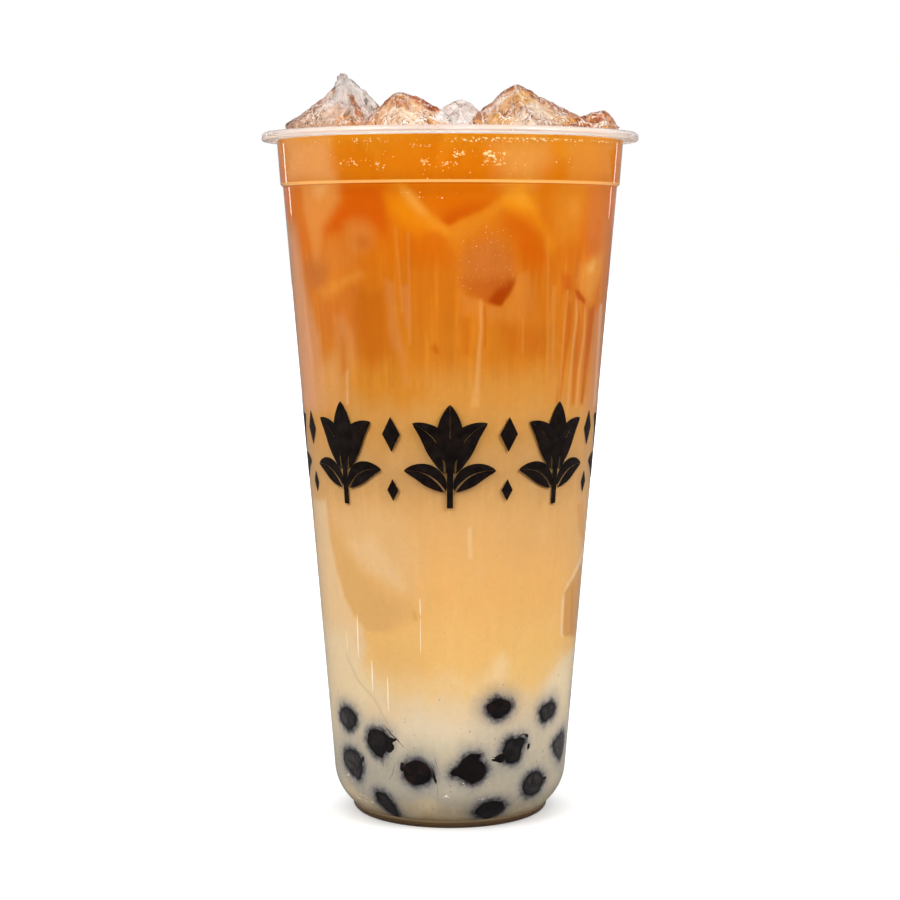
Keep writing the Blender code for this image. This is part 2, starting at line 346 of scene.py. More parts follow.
def arc(centre, radius, start, end, steps):
    turns = np.radians(np.linspace(start, end, steps + 1))
    return [(centre[0] + radius * math.cos(t), centre[1] + radius * math.sin(t)) for t in turns]


# The cup

cup = {
    "rimRadius": 47.5,
    "height": 172.9,
    "wall": 0.9,
    "cornerRadius": 12.55,
    "cornerCentre": (17.3, 12.0),
    "cornerFoot": 2.2,
    "flare": 0.0836,
    "floor": 2.4,
    "ledgeDrop": 13.6,
    "ledgeRise": 0.8,
    "ledgeWidth": 0.65,
    "collarFlare": 0.075,
    "flange": 1.4,
    "skirt": 2.1,
    "groove": ((1.52, 0.0), (1.42, 0.12), (1.24, 0.12), (1.14, 0.0)),     # round the skirt: drop and depth
    "rimRound": 1.0,
    "mouth": 1.6,
    "fillet": 0.5,
    "footRadius": 25.1,
    "footRound": 1.4,
    "footInside": 21.6,
    "baseRise": 1.2,
    "columns": 240,
    "rows": 3.0,
    "wave": 0.03,               # how far the moulded wall waves in and out
    "waveFrom": (14.0, 20.0),   # it begins at the first height, and is full so much higher
    "waveTo": (166.0, 12.0),    # it ends at the first height, and fades from so much lower
    # bands of painted light and shade on the thick plastic: painted highlights and reflections on the rim,
    # painted shade tinted by the milk at the foot; height and colour, and how clear it is
    "rimBands": ((170.8, (253, 248, 236)), (171.1, (240, 235, 228)), (171.5, (226, 215, 206)),
                 (171.8, (242, 238, 235)), (172.1, (254, 254, 254)), (172.5, (254, 253, 252)),
                 (172.75, (218, 208, 197)), (172.9, (236, 230, 226))),
    "rimClear": 0.64,
    "footBands": ((0.7, (78, 54, 26)), (1.5, (92, 68, 38)), (1.9, (132, 110, 80))),
    "footClear": 0.35,
    "bend": 1.49,
    "wetTint": (0.1, 0.1, 0.1, 1.0),    # a film of wet inside kills most of the glare
}
ledge = cup["height"] - cup["ledgeDrop"]
wallLean = math.atan(-cup["flare"])


def cornerTop(inset):
    radius = cup["cornerRadius"] - inset
    centre = cup["cornerCentre"]
    return centre[0] + radius * math.cos(wallLean), centre[1] + radius * math.sin(wallLean)


def bodyRadius(height, inset):
    radius, start = cornerTop(inset)
    return radius + cup["flare"] * (height - start)


def collarRadius(height, inset):
    start = ledge + cup["ledgeRise"]
    return bodyRadius(ledge, inset) + cup["ledgeWidth"] + cup["collarFlare"] * (height - start)


def wallRadius(height, inset):
    if height < cornerTop(inset)[1]:
        reach = (cup["cornerRadius"] - inset) ** 2 - (height - cup["cornerCentre"][1]) ** 2
        return cup["cornerCentre"][0] + math.sqrt(max(reach, 0.0))
    if height <= ledge:
        return bodyRadius(height, inset)
    if height < ledge + cup["ledgeRise"]:
        share = (height - ledge) / cup["ledgeRise"]
        eased = share * share * (3.0 - 2.0 * share)
        top = collarRadius(ledge + cup["ledgeRise"], inset)
        return bodyRadius(ledge, inset) * (1.0 - eased) + top * eased
    return collarRadius(height, inset)


def onWall(px, py):
    # where a pixel of the photograph falls on the cup: angle from the front, and height
    pitch = math.radians(view["pitchDown"])
    half = view["imagePixels"] / 2
    right = (px - half) / view["focalPixels"]
    up = (half - py) / view["focalPixels"]
    along = math.cos(pitch) + up * math.sin(pitch)
    rise = up * math.cos(pitch) - math.sin(pitch)
    square = right ** 2 + along ** 2
    far = view["distance"]
    height = 100.0              # any height on the wall will do to begin with
    for _ in range(10):
        radius = wallRadius(max(height, cup["cornerFoot"]), 0.0)
        root = math.sqrt(max((far * along) ** 2 - square * (far ** 2 - radius ** 2), 0.0))
        reach = (far * along - root) / square
        height = view["height"] + reach * rise
    return math.degrees(math.atan2(reach * right, far - reach * along)), height


def onPicture(points):
    # where points of the scene fall in the photograph
    pitch = math.radians(view["pitchDown"])
    half = view["imagePixels"] / 2
    out = points[:, 1] + view["distance"]
    up = points[:, 2] - view["height"]
    along = out * math.cos(pitch) - up * math.sin(pitch)
    rise = out * math.sin(pitch) + up * math.cos(pitch)
    return half + view["focalPixels"] * points[:, 0] / along, half - view["focalPixels"] * rise / along


def cornerPoints(inset, foot, steps):
    radius = cup["cornerRadius"] - inset
    low = math.degrees(math.asin((foot - cup["cornerCentre"][1]) / radius))
    return arc(cup["cornerCentre"], radius, low, math.degrees(wallLean), steps)


def wallPoints(inset, low, high, step):
    # even rows up the wall, closer together over the ledge
    count = max(2, int(round((high - low) / step)))
    heights = set(np.linspace(low, high, count + 1).round(4).tolist())
    if low < ledge < high:
        heights |= set(np.linspace(ledge - 0.3, ledge + cup["ledgeRise"] + 0.3, 11).round(4).tolist())
    return [(wallRadius(height, inset), height) for height in sorted(heights)]


def rimProfile():
    rim, top, edge, mouth = cup["rimRadius"], cup["height"], cup["rimRound"], cup["mouth"]
    under = top - cup["flange"]
    lip, fillet = edge / 2, cup["fillet"]
    points = arc((collarRadius(under, 0.0) + fillet, under - fillet), fillet, 180, 90, 4)
    points.append((rim - edge - 0.3, under))
    points += arc((rim - lip, top - cup["skirt"] + lip), lip, 180, 360, 8)
    points += [(rim - depth, top - drop) for drop, depth in cup["groove"]]
    points += arc((rim - edge, top - edge), edge, 0, 90, 7)
    inner = collarRadius(top - mouth, cup["wall"]) + mouth
    points.append((inner + 1.0, top - 0.12))
    return points + arc((inner, top - mouth), mouth, 84, 180, 8)


def cupProfile():
    wall, rise, floor, rows = cup["wall"], cup["baseRise"], cup["floor"], cup["rows"]
    under = cup["height"] - cup["flange"]
    inside, foot = cup["footInside"], cup["footRound"]
    points = [(reach, rise) for reach in (0.0, 8.0, 16.0)]
    points += arc((inside - 1.5, rise - 0.4), 0.4, 90, 20, 3) + arc((inside, 0.5), 0.5, 200, 270, 4)
    points += arc((cup["footRadius"] - foot, foot), foot, -90, 0, 7)
    corner = cornerPoints(0.0, cup["cornerFoot"], 18)
    points += corner + wallPoints(0.0, corner[-1][1], under - cup["fillet"] - 0.1, rows)[1:] + rimProfile()
    corner = cornerPoints(wall, floor, 18)
    points += wallPoints(wall, corner[-1][1], cup["height"] - cup["mouth"] - 0.1, rows)[::-1]
    return points + corner[::-1][1:] + [(reach, floor) for reach in (16.0, 8.0, 0.0)]


def makeCupMaterial():
    made, tree, shader = newMaterial("clearPlastic", clear=1.0, bend=cup["bend"], specularTint=cup["wetTint"])
    place = tree.place()
    # smears, and the faint orange-peel and flow of the moulded wall
    smear = tree.noise(place, 90.0, 4.0, 0.6, 0.6, tall=0.35)
    tint = tree.mix(tree.remap(smear, 0.3, 0.8), linear((252, 253, 253)), linear((246, 248, 248)))
    flow = tree.noise(place, 420.0, 2.0, 0.5, tall=0.03)
    height = tree.math("ADD", flow, tree.times(tree.noise(place, 700.0, 2.0, 0.5), 0.12))
    wire(tree, shader, tint, tree.remap(smear, 0.45, 0.8, 0.015, 0.07), height, 0.35, 0.04)
    letLampsThrough(made, tree, shader)
    return made


def makeThickMaterial(name, bands, clear):
    made, tree, shader = newMaterial(name, clear=clear, bend=cup["bend"])
    place = tree.place()
    # the painted bands of light and shade, by height
    low, high = bands[0][0], bands[-1][0]
    stops = [((level - low) / (high - low), linear(tone)) for level, tone in bands]
    share = tree.remap(tree.height(place), low * mm, high * mm, smooth=False)
    colour = tree.ramp(share, stops)
    smear = tree.noise(place, 60.0, 3.0, 0.6, tall=6.0)
    tint = tree.lay(colour, (0.5, 0.45, 0.41, 1.0), tree.remap(smear, 0.4, 0.7, 0.0, 0.25), blend="MULTIPLY")
    wire(tree, shader, tint, tree.remap(smear, 0.3, 0.7, 0.1, 0.28), smear, 0.3, 0.05)
    letLampsThrough(made, tree, shader)
    return made


def makeCup():
    profile = cupProfile()
    points = turnedPoints(profile, cup["columns"])
    turn = np.arctan2(points[:, 0], -points[:, 1])
    height = points[:, 2]
    # uneven wall from the mould: slow waves in and out, none at the rim and the foot
    begin, grow = cup["waveFrom"]
    end, fade = cup["waveTo"]
    hold = np.clip((height - begin) / grow, 0.0, 1.0) * np.clip((end - height) / fade, 0.0, 1.0)
    wave = np.sin(turn * 9 + height / 31.0) + 0.6 * np.sin(turn * 23 - height / 47.0 + 1.0)
    move = -cup["wave"] * 0.5 * (1.0 + wave / 1.6) * hold
    points[:, :2] *= (1.0 + move / np.maximum(np.hypot(points[:, 0], points[:, 1]), 1.0))[:, None]
    mesh = meshFrom("cupShell", points, ringFaces(len(profile) - 2, cup["columns"]), 32.0)
    addPiece("cupShell", mesh, makeCupMaterial(), "clear_plastic", "cup")
    mesh.materials.append(makeThickMaterial("rimPlastic", cup["rimBands"], cup["rimClear"]))
    mesh.materials.append(makeThickMaterial("footPlastic", cup["footBands"], cup["footClear"]))
    under = cup["height"] - cup["flange"] - cup["fillet"]
    for face in mesh.polygons:
        x, y, z = face.center / mm
        if z > under or z > ledge and math.hypot(x, y) > collarRadius(z, 0.0) + 0.6:
            face.material_index = 1
        elif z < cup["footBands"][-1][0]:
            face.material_index = 2


makeCup()
print("cup made")


# Where the pearls are

pearl = {
    "shift": 0.63,              # from the solid's clearance out to the scene's drink surface
    "contact": 0.56,            # how deep in the wall the pressed face lies
    "floor": 2.06,
    "deep": 6.5,
    "points": 170,
    "rings": (0.97, 0.9, 0.76, 0.6, 0.42, 0.22),
    "backRings": 8,
    "fine": 0.1,
    "ragged": 0.16,
    "torn": 0.5,
    "filmEdge": 0.35,           # the film thins out this far in from the edge, as a share
    "halo": (2.2, 3.4, 0.34),   # reach of the near shade, reach and depth of the far one
    "haloLimit": 14.0,
    "scrap": (40, 0.6, 0.3),    # points round a scrap, how torn it is and how thick
    "seed": 5,
    "lowest": 6.0,
    # the pearls round the back take these faces in turn
    "borrowed": ("pearl_06", "pearl_04", "pearl_10", "pearl_02", "pearl_08", "pearl_12"),
}

# The pearls' pressed faces: greyish film, redness, and the outline in pixels
pearlFaces = {
    "pearl_01": (0.75, 0.1, (340.6, 709, 344.4, 706.3, 349, 708.6, 353, 712, 356, 718, 355.6, 723,
        352.5, 727.5, 349, 729.8, 345, 727.5, 342, 723, 339, 717.5, 339.8, 712.5)),
    "pearl_02": (0.25, 0.2, (367.5, 732.5, 371, 730, 376, 729.2, 380, 731, 385, 733.8, 388, 738.8, 387, 744,
        385.6, 749, 384, 752.5, 381.3, 758.5, 377.5, 756.3, 373, 752.5, 369.4, 747.5, 366.3, 741)),
    "pearl_03": (0.85, 0.0, (343.8, 752, 348.8, 748.8, 353.8, 750, 358, 754.4, 361.3, 760, 361.5, 767.5,
        360.5, 775, 358.5, 780.5, 355, 776.3, 350.6, 772.5, 346.3, 766.3, 343, 759.4)),
    "pearl_04": (0.1, 0.9, (403.8, 766.3, 408.8, 762, 416.3, 760.2, 422.5, 762.3, 428.8, 767.5, 432, 773,
        430.5, 779, 425, 783.3, 417.5, 785.5, 410, 783.3, 405, 778.2, 402.6, 772.5)),
    "pearl_05": (0.4, 0.1, (374.5, 792, 379, 791.5, 384, 793.8, 388.2, 798, 392, 803, 395.3, 808.5,
        398, 814.5, 395, 816, 391.3, 813.1, 386.3, 810, 381.3, 805.6, 376.9, 800.6, 376, 796.3)),
    "pearl_06": (0.05, 0.7, (487, 706.3, 491.7, 702.6, 495.1, 699.2, 500.6, 698.8, 506, 700.6, 511, 702,
        512, 707.6, 510, 712.4, 505.3, 715.1, 500.6, 719.3, 496.5, 718.8, 492.4, 716.4, 487.7, 711.7)),
    "pearl_07": (0.6, 0.0, (541.2, 709, 545.3, 705.6, 551.4, 702, 555.6, 703.4, 555.5, 710.3, 553.4, 716.4,
        549.3, 717.8, 547.3, 719.1, 545.3, 722.7, 542.6, 719.8, 540.8, 714.4)),
    "pearl_08": (0.3, 0.1, (506.7, 742.2, 511.4, 738.6, 516.8, 739.3, 521.6, 737, 526.3, 739.5,
        524.3, 744.2, 521.8, 749.6, 520.9, 756.4, 518.2, 762, 511.4, 763.6, 506, 761.8, 503.1, 756.4,
        504.4, 749.6)),
    "pearl_09": (0.7, 0.5, (560.2, 734.7, 562.9, 730.5, 564.4, 736.1, 563.8, 744.2, 562.4, 752.3,
        560.2, 759.5, 556.8, 755.7, 554, 749.6, 553.2, 744.2, 556, 740)),
    "pearl_10": (0.05, 0.35, (451, 771.3, 457.9, 767.5, 461.3, 761.8, 466.7, 757.4, 469.4, 754.6,
        474.1, 754.8, 482, 755.2, 478.2, 760, 482.8, 763.2, 486.5, 767.2, 485.9, 772.7, 482.9, 778.3,
        477.5, 782.3, 473.5, 784.4, 466.7, 782.3, 461.3, 778.5, 457.2, 777, 450, 775)),
    "pearl_11": (0.65, 0.0, (531.7, 774, 537.1, 771, 541.4, 774, 545, 779.2, 542, 785, 540, 790.5,
        534.4, 794, 527.6, 796, 523.4, 791, 524, 783.5, 527.5, 776.7)),
    "pearl_12": (0.2, 0.2, (476.6, 809.5, 482.9, 803.8, 491.1, 801.5, 499.2, 801.2, 504.2, 803,
        505.6, 807.2, 502, 811.5, 497.8, 814.3, 492.4, 817, 485.7, 817.8, 478.9, 816.4, 474.4, 812.8)),
}

# Scraps of tapioca beside the pearls
scraps = (
    (385, 735, 391, 738.5, 397, 738.5, 394.5, 742.5, 390, 741.5, 394.5, 747, 391.5, 752.5, 386, 753,
        384, 746),
    (400.4, 763.6, 402.6, 764.4, 404, 770, 401.2, 772, 399.3, 768.6),
    (496.5, 756.4, 501.9, 753.4, 504.5, 757, 505, 762, 499.2, 763.4, 491.5, 760.7, 495.8, 758.6),
    (526, 733, 530, 735, 528.5, 738, 525, 737),
    (528, 744, 531, 743, 530, 749, 527.5, 750),
    (361.5, 756, 363.5, 758, 363, 762, 361, 761),
    (544.5, 776, 548, 777, 545.5, 780.5, 543.8, 779),
    (432, 770, 434.5, 775, 436.5, 785, 433, 779),
)


def pearlSpot(node):
    # angle and height of the ball that fits a pearl's solid, moved out to the scene's drink
    points = np.array([v.co for v in nodes[node].data.vertices]) / mm
    table = np.hstack([2.0 * points, np.ones((len(points), 1))])
    x, y, z = np.linalg.lstsq(table, (points ** 2).sum(axis=1), rcond=None)[0][:3]
    lean = wallLean
    if z < cornerTop(0.0)[1]:
        lean = math.asin(max(-1.0, (z - cup["cornerCentre"][1]) / cup["cornerRadius"]))
    return math.degrees(math.atan2(x, -y)), z + math.sin(lean) * pearl["shift"]


def contactRadius(height):
    return wallRadius(max(height, cup["cornerFoot"]), pearl["contact"])


def faceOutline(pixels, rounds=2):
    # outline on the unrolled wall about its own middle, with the middle's angle and height
    spots = np.array([onWall(*pixel) for pixel in pairs(pixels)])
    angle, height = spots.mean(axis=0)
    points = np.stack([np.radians(spots[:, 0] - angle) * contactRadius(height), spots[:, 1] - height], axis=1)
    for _ in range(rounds):     # corners cut
        after = np.roll(points, -1, axis=0)
        points = np.stack([0.75 * points + 0.25 * after, 0.25 * points + 0.75 * after], axis=1).reshape(-1, 2)
    return angle, height, points


def placePearls():
    # angle, height, outline, film and redness of each pearl's pressed face
    placed = {}
    for name, (film, redness, pixels) in pearlFaces.items():
        placed[name] = (*faceOutline(pixels), film, redness)
    draw = random.Random(pearl["seed"])
    for number, name in enumerate(name for name in pearlNames if name not in pearlFaces):
        angle, height = pearlSpot(name)
        outline = placed[pearl["borrowed"][number % len(pearl["borrowed"])]][2]
        turn = draw.uniform(0.0, 2.0 * math.pi)
        spin = np.array([[math.cos(turn), -math.sin(turn)], [math.sin(turn), math.cos(turn)]])
        outline = outline @ spin * draw.uniform(0.85, 1.0)
        film, redness = draw.uniform(0.0, 0.5), draw.uniform(0.0, 0.6)
        placed[name] = (angle, max(height, pearl["lowest"]), outline, film, redness)
    return placed


pearlNames = sorted(name for name in nodes if name.startswith("pearl_"))
pressed = placePearls()


# The drink

drink = {
    "inset": 0.6,               # the drink's face, 0.3 inside the plastic, so no air shows between
    "level": 170.2,
    # each layer from its foot to its top, and the step from row to row
    "milk": (2.1, 38.0, 0.4),
    "milkTea": (38.0, 111.0, 0.7),
    "tea": (111.0, 171.1, 0.5),
    "columns": 600,
    "meniscus": 0.9,            # height, and reach, of the surface's rise at the wall
    "eased": ((-2.3, -0.1, 0.9, 3.1), (0.0, 0.25, -0.25, 0.0)),      # how the face cuts past the ledge
    # a painted highlight: the thin bright line over the ledge and its tone
    "line": (0.45, 0.65, 1.0, 1.2),         # the thin bright line over the ledge: from, full, full, to
    "lineTone": (255, 196, 112),
    "wave": 0.009,
    # light on the drink by height, and how much of it the wall throws back
    "light": ((0.0, 0.18), (2.5, 0.22), (4.0, 0.34), (5.7, 0.49), (8.0, 0.73), (10.0, 0.84), (22.0, 0.89),
              (45.0, 0.85), (75.0, 0.85), (105.0, 0.88), (150.0, 0.92), (172.0, 0.94)),
    "bounce": 0.25,
    # height and colour, from the foot up
    "layers": (
        (0.0, (110, 92, 66)), (2.5, (128, 110, 86)), (4.0, (157, 140, 114)), (5.7, (167, 150, 122)),
        (8.0, (179, 167, 147)), (14.0, (194, 181, 158)), (19.0, (212, 196, 168)), (26.0, (233, 211, 178)),
        (31.0, (236, 206, 164)), (38.0, (238, 197, 137)), (45.5, (238, 187, 113)), (60.0, (236, 179, 106)),
        (76.0, (227, 172, 106)), (90.0, (208, 154, 92)), (103.0, (216, 152, 76)), (111.0, (216, 137, 44)),
        (120.0, (213, 124, 30)), (133.0, (216, 118, 22)), (148.0, (223, 114, 9)), (163.0, (230, 123, 7)),
        (172.0, (236, 140, 22)),
    ),
    # what clouds and streaks blend towards, in the milk tea and in the tea: colour, and its height
    "pale": (((241, 200, 140), 60.0), ((238, 152, 44), 140.0)),
    "dark": (((218, 168, 104), 60.0), ((200, 102, 14), 140.0)),
    "teaFrom": (92.0, 114.0),   # heights between which the first tones turn into the others
    "streaked": (30.0, 60.0, 138.0, 156.0),
    "behind": (184.0, 2.0),     # the marks are turned about by so much, and lowered, for the back
}

# Ice, milk clouds and bent light that show through the face of the drink, painted in this order:
# colour, strength, softness and the outline in pixels. A softness of three values grows from the
# first to the second along a heading.
# the sunken ice is painted with light and shade on its faces; the glows, wedges of light and threads of light
# are painted highlights
marks = {
    "collarPale": ((243, 170, 98), 0.75, 6.0, (284, 138, 326, 138, 336, 182, 284, 182)),
    "collarWarm": ((232, 126, 14), 0.6, 5.0, (336, 140, 352, 140, 356, 182, 340, 182)),
    "collarCloud": ((243, 166, 80), 0.7, 8.0, (494, 144, 546, 138, 552, 160, 534, 182, 500, 182)),
    "collarRight": ((240, 158, 66), 0.5, 6.0, (566, 138, 616, 138, 612, 182, 572, 182)),
    "middleOrange": ((236, 130, 10), 0.5, 7.0, (366, 184, 396, 184, 412, 212, 420, 240, 396, 246,
        380, 222)),
    "centreMist": ((222, 157, 78), 0.55, 12.0, (428, 376, 560, 376, 566, 414, 428, 414)),
    # painted reflections of the room along the cup's left edge
    "leftEdge": ((222, 152, 96), 0.75, 5.0, (280, 215, 296, 225, 306, 290, 318, 336, 327, 410, 300, 410,
        290, 320, 280, 250)),
    "leftEdgeRose": ((232, 166, 122), 0.6, 3.0, (284, 230, 294, 236, 304, 300, 312, 350, 316, 410, 304, 410,
        294, 320)),
    "leftWarm": ((237, 150, 68), 0.8, 4.0, (300, 183, 338, 183, 340, 200, 333, 212, 323, 226, 318, 264,
        313, 262, 308, 235, 302, 208)),
    "leftWarmCore": ((250, 180, 104), 0.6, 4.0, (311, 184, 327, 184, 324, 195, 317, 197, 312, 192)),
    "leftStripe": ((226, 118, 24), 0.5, 3.0, (291, 186, 300, 186, 304, 236, 297, 232)),
    "leftDeep": ((221, 92, 3), 0.85, 5.0, (340, 183, 386, 183, 390, 216, 386, 238, 368, 224, 352, 222,
        338, 233, 325, 231, 331, 213, 341, 200)),
    "leftMist": ((227, 134, 50), 0.6, 6.0, (316, 236, 340, 238, 352, 250, 356, 268, 334, 277, 316, 284)),
    "knot": ((230, 140, 60), 0.6, 5.0, (344, 226, 352, 221, 364, 221, 372, 229, 373, 245, 364, 253,
        352, 252, 344, 243)),
    "knotHeart": ((198, 94, 22), 0.6, 3.6, (356, 239, 361, 235, 368, 239, 367, 247, 358, 247)),
    "leftBrown": ((200, 110, 44), 0.75, 5.0, (304, 260, 318, 260, 326, 270, 325, 286, 313, 291, 306, 280)),
    "leftRidgeShade": ((212, 114, 38), 0.6, (1.5, 8.0, 270), (320, 296, 358, 284, 360, 330, 352, 350,
        324, 344, 316, 318)),
    "leftRidge": ((238, 150, 54), 0.7, (4.5, 2.6, 70), (317, 292, 326, 284, 340, 277, 359, 271, 363, 277,
        348, 285, 337, 292, 326, 297)),
    "leftSmear": ((220, 150, 84), 0.45, 4.0, (333, 318, 342, 314, 351, 328, 356, 352, 351, 380, 347, 408,
        335, 408, 331, 378, 336, 350)),
    "leftSmearLow": ((226, 162, 96), 0.55, 5.0, (316, 372, 333, 352, 338, 380, 337, 408, 316, 408)),
    "leftSlit": ((203, 106, 18), 0.5, 1.6, (339, 336, 343, 336, 346.5, 372, 341, 376)),
    "leftThread": ((232, 176, 118), 0.7, 0.6, (345.5, 370, 347, 370, 347.5, 404, 345, 404)),
    "brownColumn": ((202, 103, 14), 0.7, 5.0, (357, 290, 386, 288, 389, 350, 372, 368, 358, 354, 355, 320)),
    "centreDeep": ((217, 103, 6), 0.6, 7.0, (404, 228, 440, 236, 446, 262, 420, 268, 402, 254)),
    "streakOne": ((224, 144, 70), 0.55, 2.6, (386, 280, 393.5, 284, 398, 330, 404, 352, 408.5, 388,
        404, 388, 399, 358, 391, 346, 388, 330)),
    "streakTwo": ((236, 150, 62), 0.6, 0.6, (393.5, 226, 395.5, 226, 403, 312, 401, 312)),
    "streakThree": ((233, 150, 66), 0.65, 0.6, (407, 232, 408.5, 232, 410.5, 345, 408.5, 345)),
    "streakFour": ((216, 134, 70), 0.55, 1.8, (401, 288, 407, 285, 411, 306, 408, 332, 404, 320)),
    "dimple": ((196, 94, 14), 0.8, 1.1, (431.5, 346, 435, 343.5, 437.5, 349, 439.5, 352, 436, 354,
        433, 350.5)),
    "wedge": ((225, 109, 4), 0.8, (1.2, 9.0, 90), (404, 183, 514, 183, 510, 192, 448, 227, 438, 218,
        420, 204)),
    "wedgeTip": ((208, 86, 4), 0.85, (1.4, 5.0, 100), (441, 223, 448, 213, 466, 206, 486, 204, 470, 214.5,
        450, 227, 446, 228)),
    "wedgeGlowLeft": ((244, 140, 10), 0.85, 4.5, (386, 194, 402, 196, 416, 213, 430, 227, 422, 232,
        402, 224, 390, 212)),
    "wedgeLeft": ((244, 148, 34), 0.85, (3.2, 1.6, 40), (396, 183, 404, 183, 414, 197, 428, 211, 440, 221,
        450, 229, 452, 236, 444, 236, 430, 228, 416, 216, 404, 202)),
    "wedgeLeftCore": ((250, 172, 72), 0.7, 3.0, (402, 189, 409, 192, 417.5, 203, 425, 212, 418, 211,
        409, 203)),
    "wedgeRight": ((236, 142, 30), 0.8, (1.6, 6.5, 300), (448.5, 228.5, 480, 211.5, 510, 191.5, 520, 200,
        508, 212, 482, 226, 460, 240, 450, 243)),
    "glow": ((248, 148, 8), 0.85, 4.5, (508, 200, 522, 196, 536, 206, 538, 218, 524, 218, 510, 212)),
    "glowTail": ((241, 143, 20), 0.85, 4.0, (524, 197, 536, 206, 546, 224, 557, 241, 553, 257, 544, 244,
        534, 226, 524, 214)),
    "glowCore": ((253, 166, 42), 0.8, 7.0, (505, 183, 524, 183, 530, 196, 531, 207, 524, 209, 514, 204,
        507, 194)),
    "rightDeep": ((217, 98, 2), 0.85, 6.0, (506, 214, 528, 216, 543, 238, 548, 260, 534, 270, 522, 262,
        512, 240)),
    "rightWarm": ((236, 146, 38), 0.6, 7.0, (556, 183, 590, 183, 588, 212, 578, 240, 562, 242, 552, 214)),
    "rightWarmCore": ((242, 160, 58), 0.5, 5.0, (570, 200, 580, 202, 580, 216, 572, 216)),
    "rightRose": ((222, 124, 52), 0.65, 4.0, (590, 186, 606, 184, 612, 200, 606, 262, 592, 260, 588, 230)),
    "rightRoseSpot": ((210, 106, 34), 0.6, 3.0, (589, 238, 597, 236, 598, 252, 590, 258)),
    "block": ((222, 124, 34), 0.6, (5.0, 10.0, 120), (462, 244, 478, 228, 500, 226, 512, 240, 516, 268,
        510, 288, 490, 292, 462, 278)),
    "blockRose": ((207, 114, 46), 0.8, 7.0, (462, 264, 470, 250, 488, 240, 502, 243, 509, 257, 515, 272,
        510, 285, 498, 291, 478, 291, 466, 282)),
    "blockLow": ((194, 94, 24), 0.8, (0.9, 6.0, 125), (462, 283, 480, 277, 500, 277, 516, 279, 509, 296,
        501, 306, 490, 305, 474, 297)),
    "blockTip": ((174, 64, 2), 0.95, (0.8, 2.6, 100), (489, 302, 498, 290, 510, 283, 515.5, 283, 508.5, 296,
        502, 306, 495, 306.5)),
    "besideBlock": ((224, 134, 48), 0.7, (0.8, 5.0, 320), (517, 276, 530, 270, 535, 298, 529, 320, 512, 322,
        504, 309, 511, 297)),
    "underBlock": ((224, 136, 52), 0.6, (0.8, 5.0, 260), (458, 291, 476, 299, 492, 307, 503, 309, 512, 322,
        486, 320, 464, 312)),
    "wedgeOfLight": ((235, 168, 92), 0.7, 0.9, (480, 300, 481.5, 300, 482.5, 330, 481, 366, 479.5, 408,
        470.5, 408, 475, 380, 478, 350, 479.8, 330)),
    "darkThread": ((198, 94, 14), 0.7, 0.6, (484, 306, 486, 306, 486.5, 346, 484.5, 346)),
    "darkColumn": ((204, 102, 14), 0.6, 1.6, (464, 318, 471, 318, 470, 354, 462, 354)),
    "darkPool": ((204, 103, 18), 0.6, 5.0, (500, 322, 548, 330, 542, 354, 508, 354)),
    "lightThread": ((226, 146, 62), 0.6, 0.6, (522.5, 318, 524.5, 318, 524.5, 352, 522.5, 352)),
    "lightThreadTall": ((228, 146, 56), 0.6, 0.7, (548, 236, 550, 236, 549, 404, 546.5, 404)),
    "lightThreadLow": ((226, 148, 66), 0.6, 0.8, (554, 286, 557, 286, 554, 404, 551, 404)),
    "rightDark": ((206, 94, 8), 0.7, 2.8, (562, 272, 573, 276, 573, 292, 562, 290)),
    "rightLump": ((236, 156, 62), 0.7, 4.4, (582, 264, 594, 257, 605, 253, 603, 270, 597, 284, 591, 302,
        584, 297, 579, 280)),
    "rightLumpCore": ((246, 182, 92), 0.65, 3.4, (588, 266, 597, 261, 595, 272, 589, 273)),
    "rightLine": ((186, 76, 2), 0.95, 0.8, (576, 290, 580, 290.5, 586.5, 300, 585.5, 304, 579, 299)),
    "darkOne": ((204, 102, 14), 0.8, 1.1, (567, 296, 573, 306, 572, 331, 566, 366, 561, 404, 557, 404,
        562, 366, 566, 330)),
    "darkTwo": ((204, 102, 20), 0.7, 1.0, (580, 308, 583, 330, 578, 372, 575, 404, 572, 404, 575.5, 350)),
    "darkThree": ((190, 84, 12), 0.75, 1.2, (590, 311, 594, 304, 596, 304, 593, 332, 588, 366, 584, 404,
        581, 404, 586.5, 345)),
    "paleOne": ((230, 158, 86), 0.75, 0.7, (576.5, 298, 578, 299, 578.5, 318, 574.5, 350, 570, 408,
        567, 408, 571.5, 360, 575.5, 324)),
    "paleTwo": ((231, 156, 82), 0.75, 0.6, (585.5, 306, 587, 307, 586, 334, 581.5, 374, 578.5, 408,
        576, 408, 579, 370, 584, 334)),
    "paleThree": ((230, 150, 66), 0.7, 0.6, (567.5, 290, 569.5, 290, 565.5, 340, 560.5, 404, 558.5, 404,
        563.5, 340)),
    # painted reflections of the room along the cup's right edge
    "rightEdgeHigh": ((216, 130, 60), 0.5, 3.0, (604, 220, 614, 215, 610, 300, 600, 304, 602, 262)),
    "rightEdge": ((216, 140, 84), 0.7, 2.4, (596, 312, 606, 300, 600, 410, 587, 410, 592, 350)),
    "rightEdgeLine": ((228, 176, 138), 0.8, 0.7, (600.5, 304, 603, 304, 596, 406, 593.5, 406)),
    "cloudHigh": ((230, 184, 126), 0.6, 8.0, (330, 512, 360, 506, 396, 512, 420, 560, 418, 600, 398, 600,
        360, 560)),
    "cloudBright": ((236, 196, 144), 0.6, 4.5, (346, 544, 372, 536, 396, 566, 404, 590, 384, 582,
        362, 572)),
    "creamBand": ((235, 198, 150), 0.85, 2.2, (313, 500, 325, 500, 329, 536, 336, 570, 344, 597, 353, 617,
        362, 628, 368, 650, 352, 684, 322, 690)),
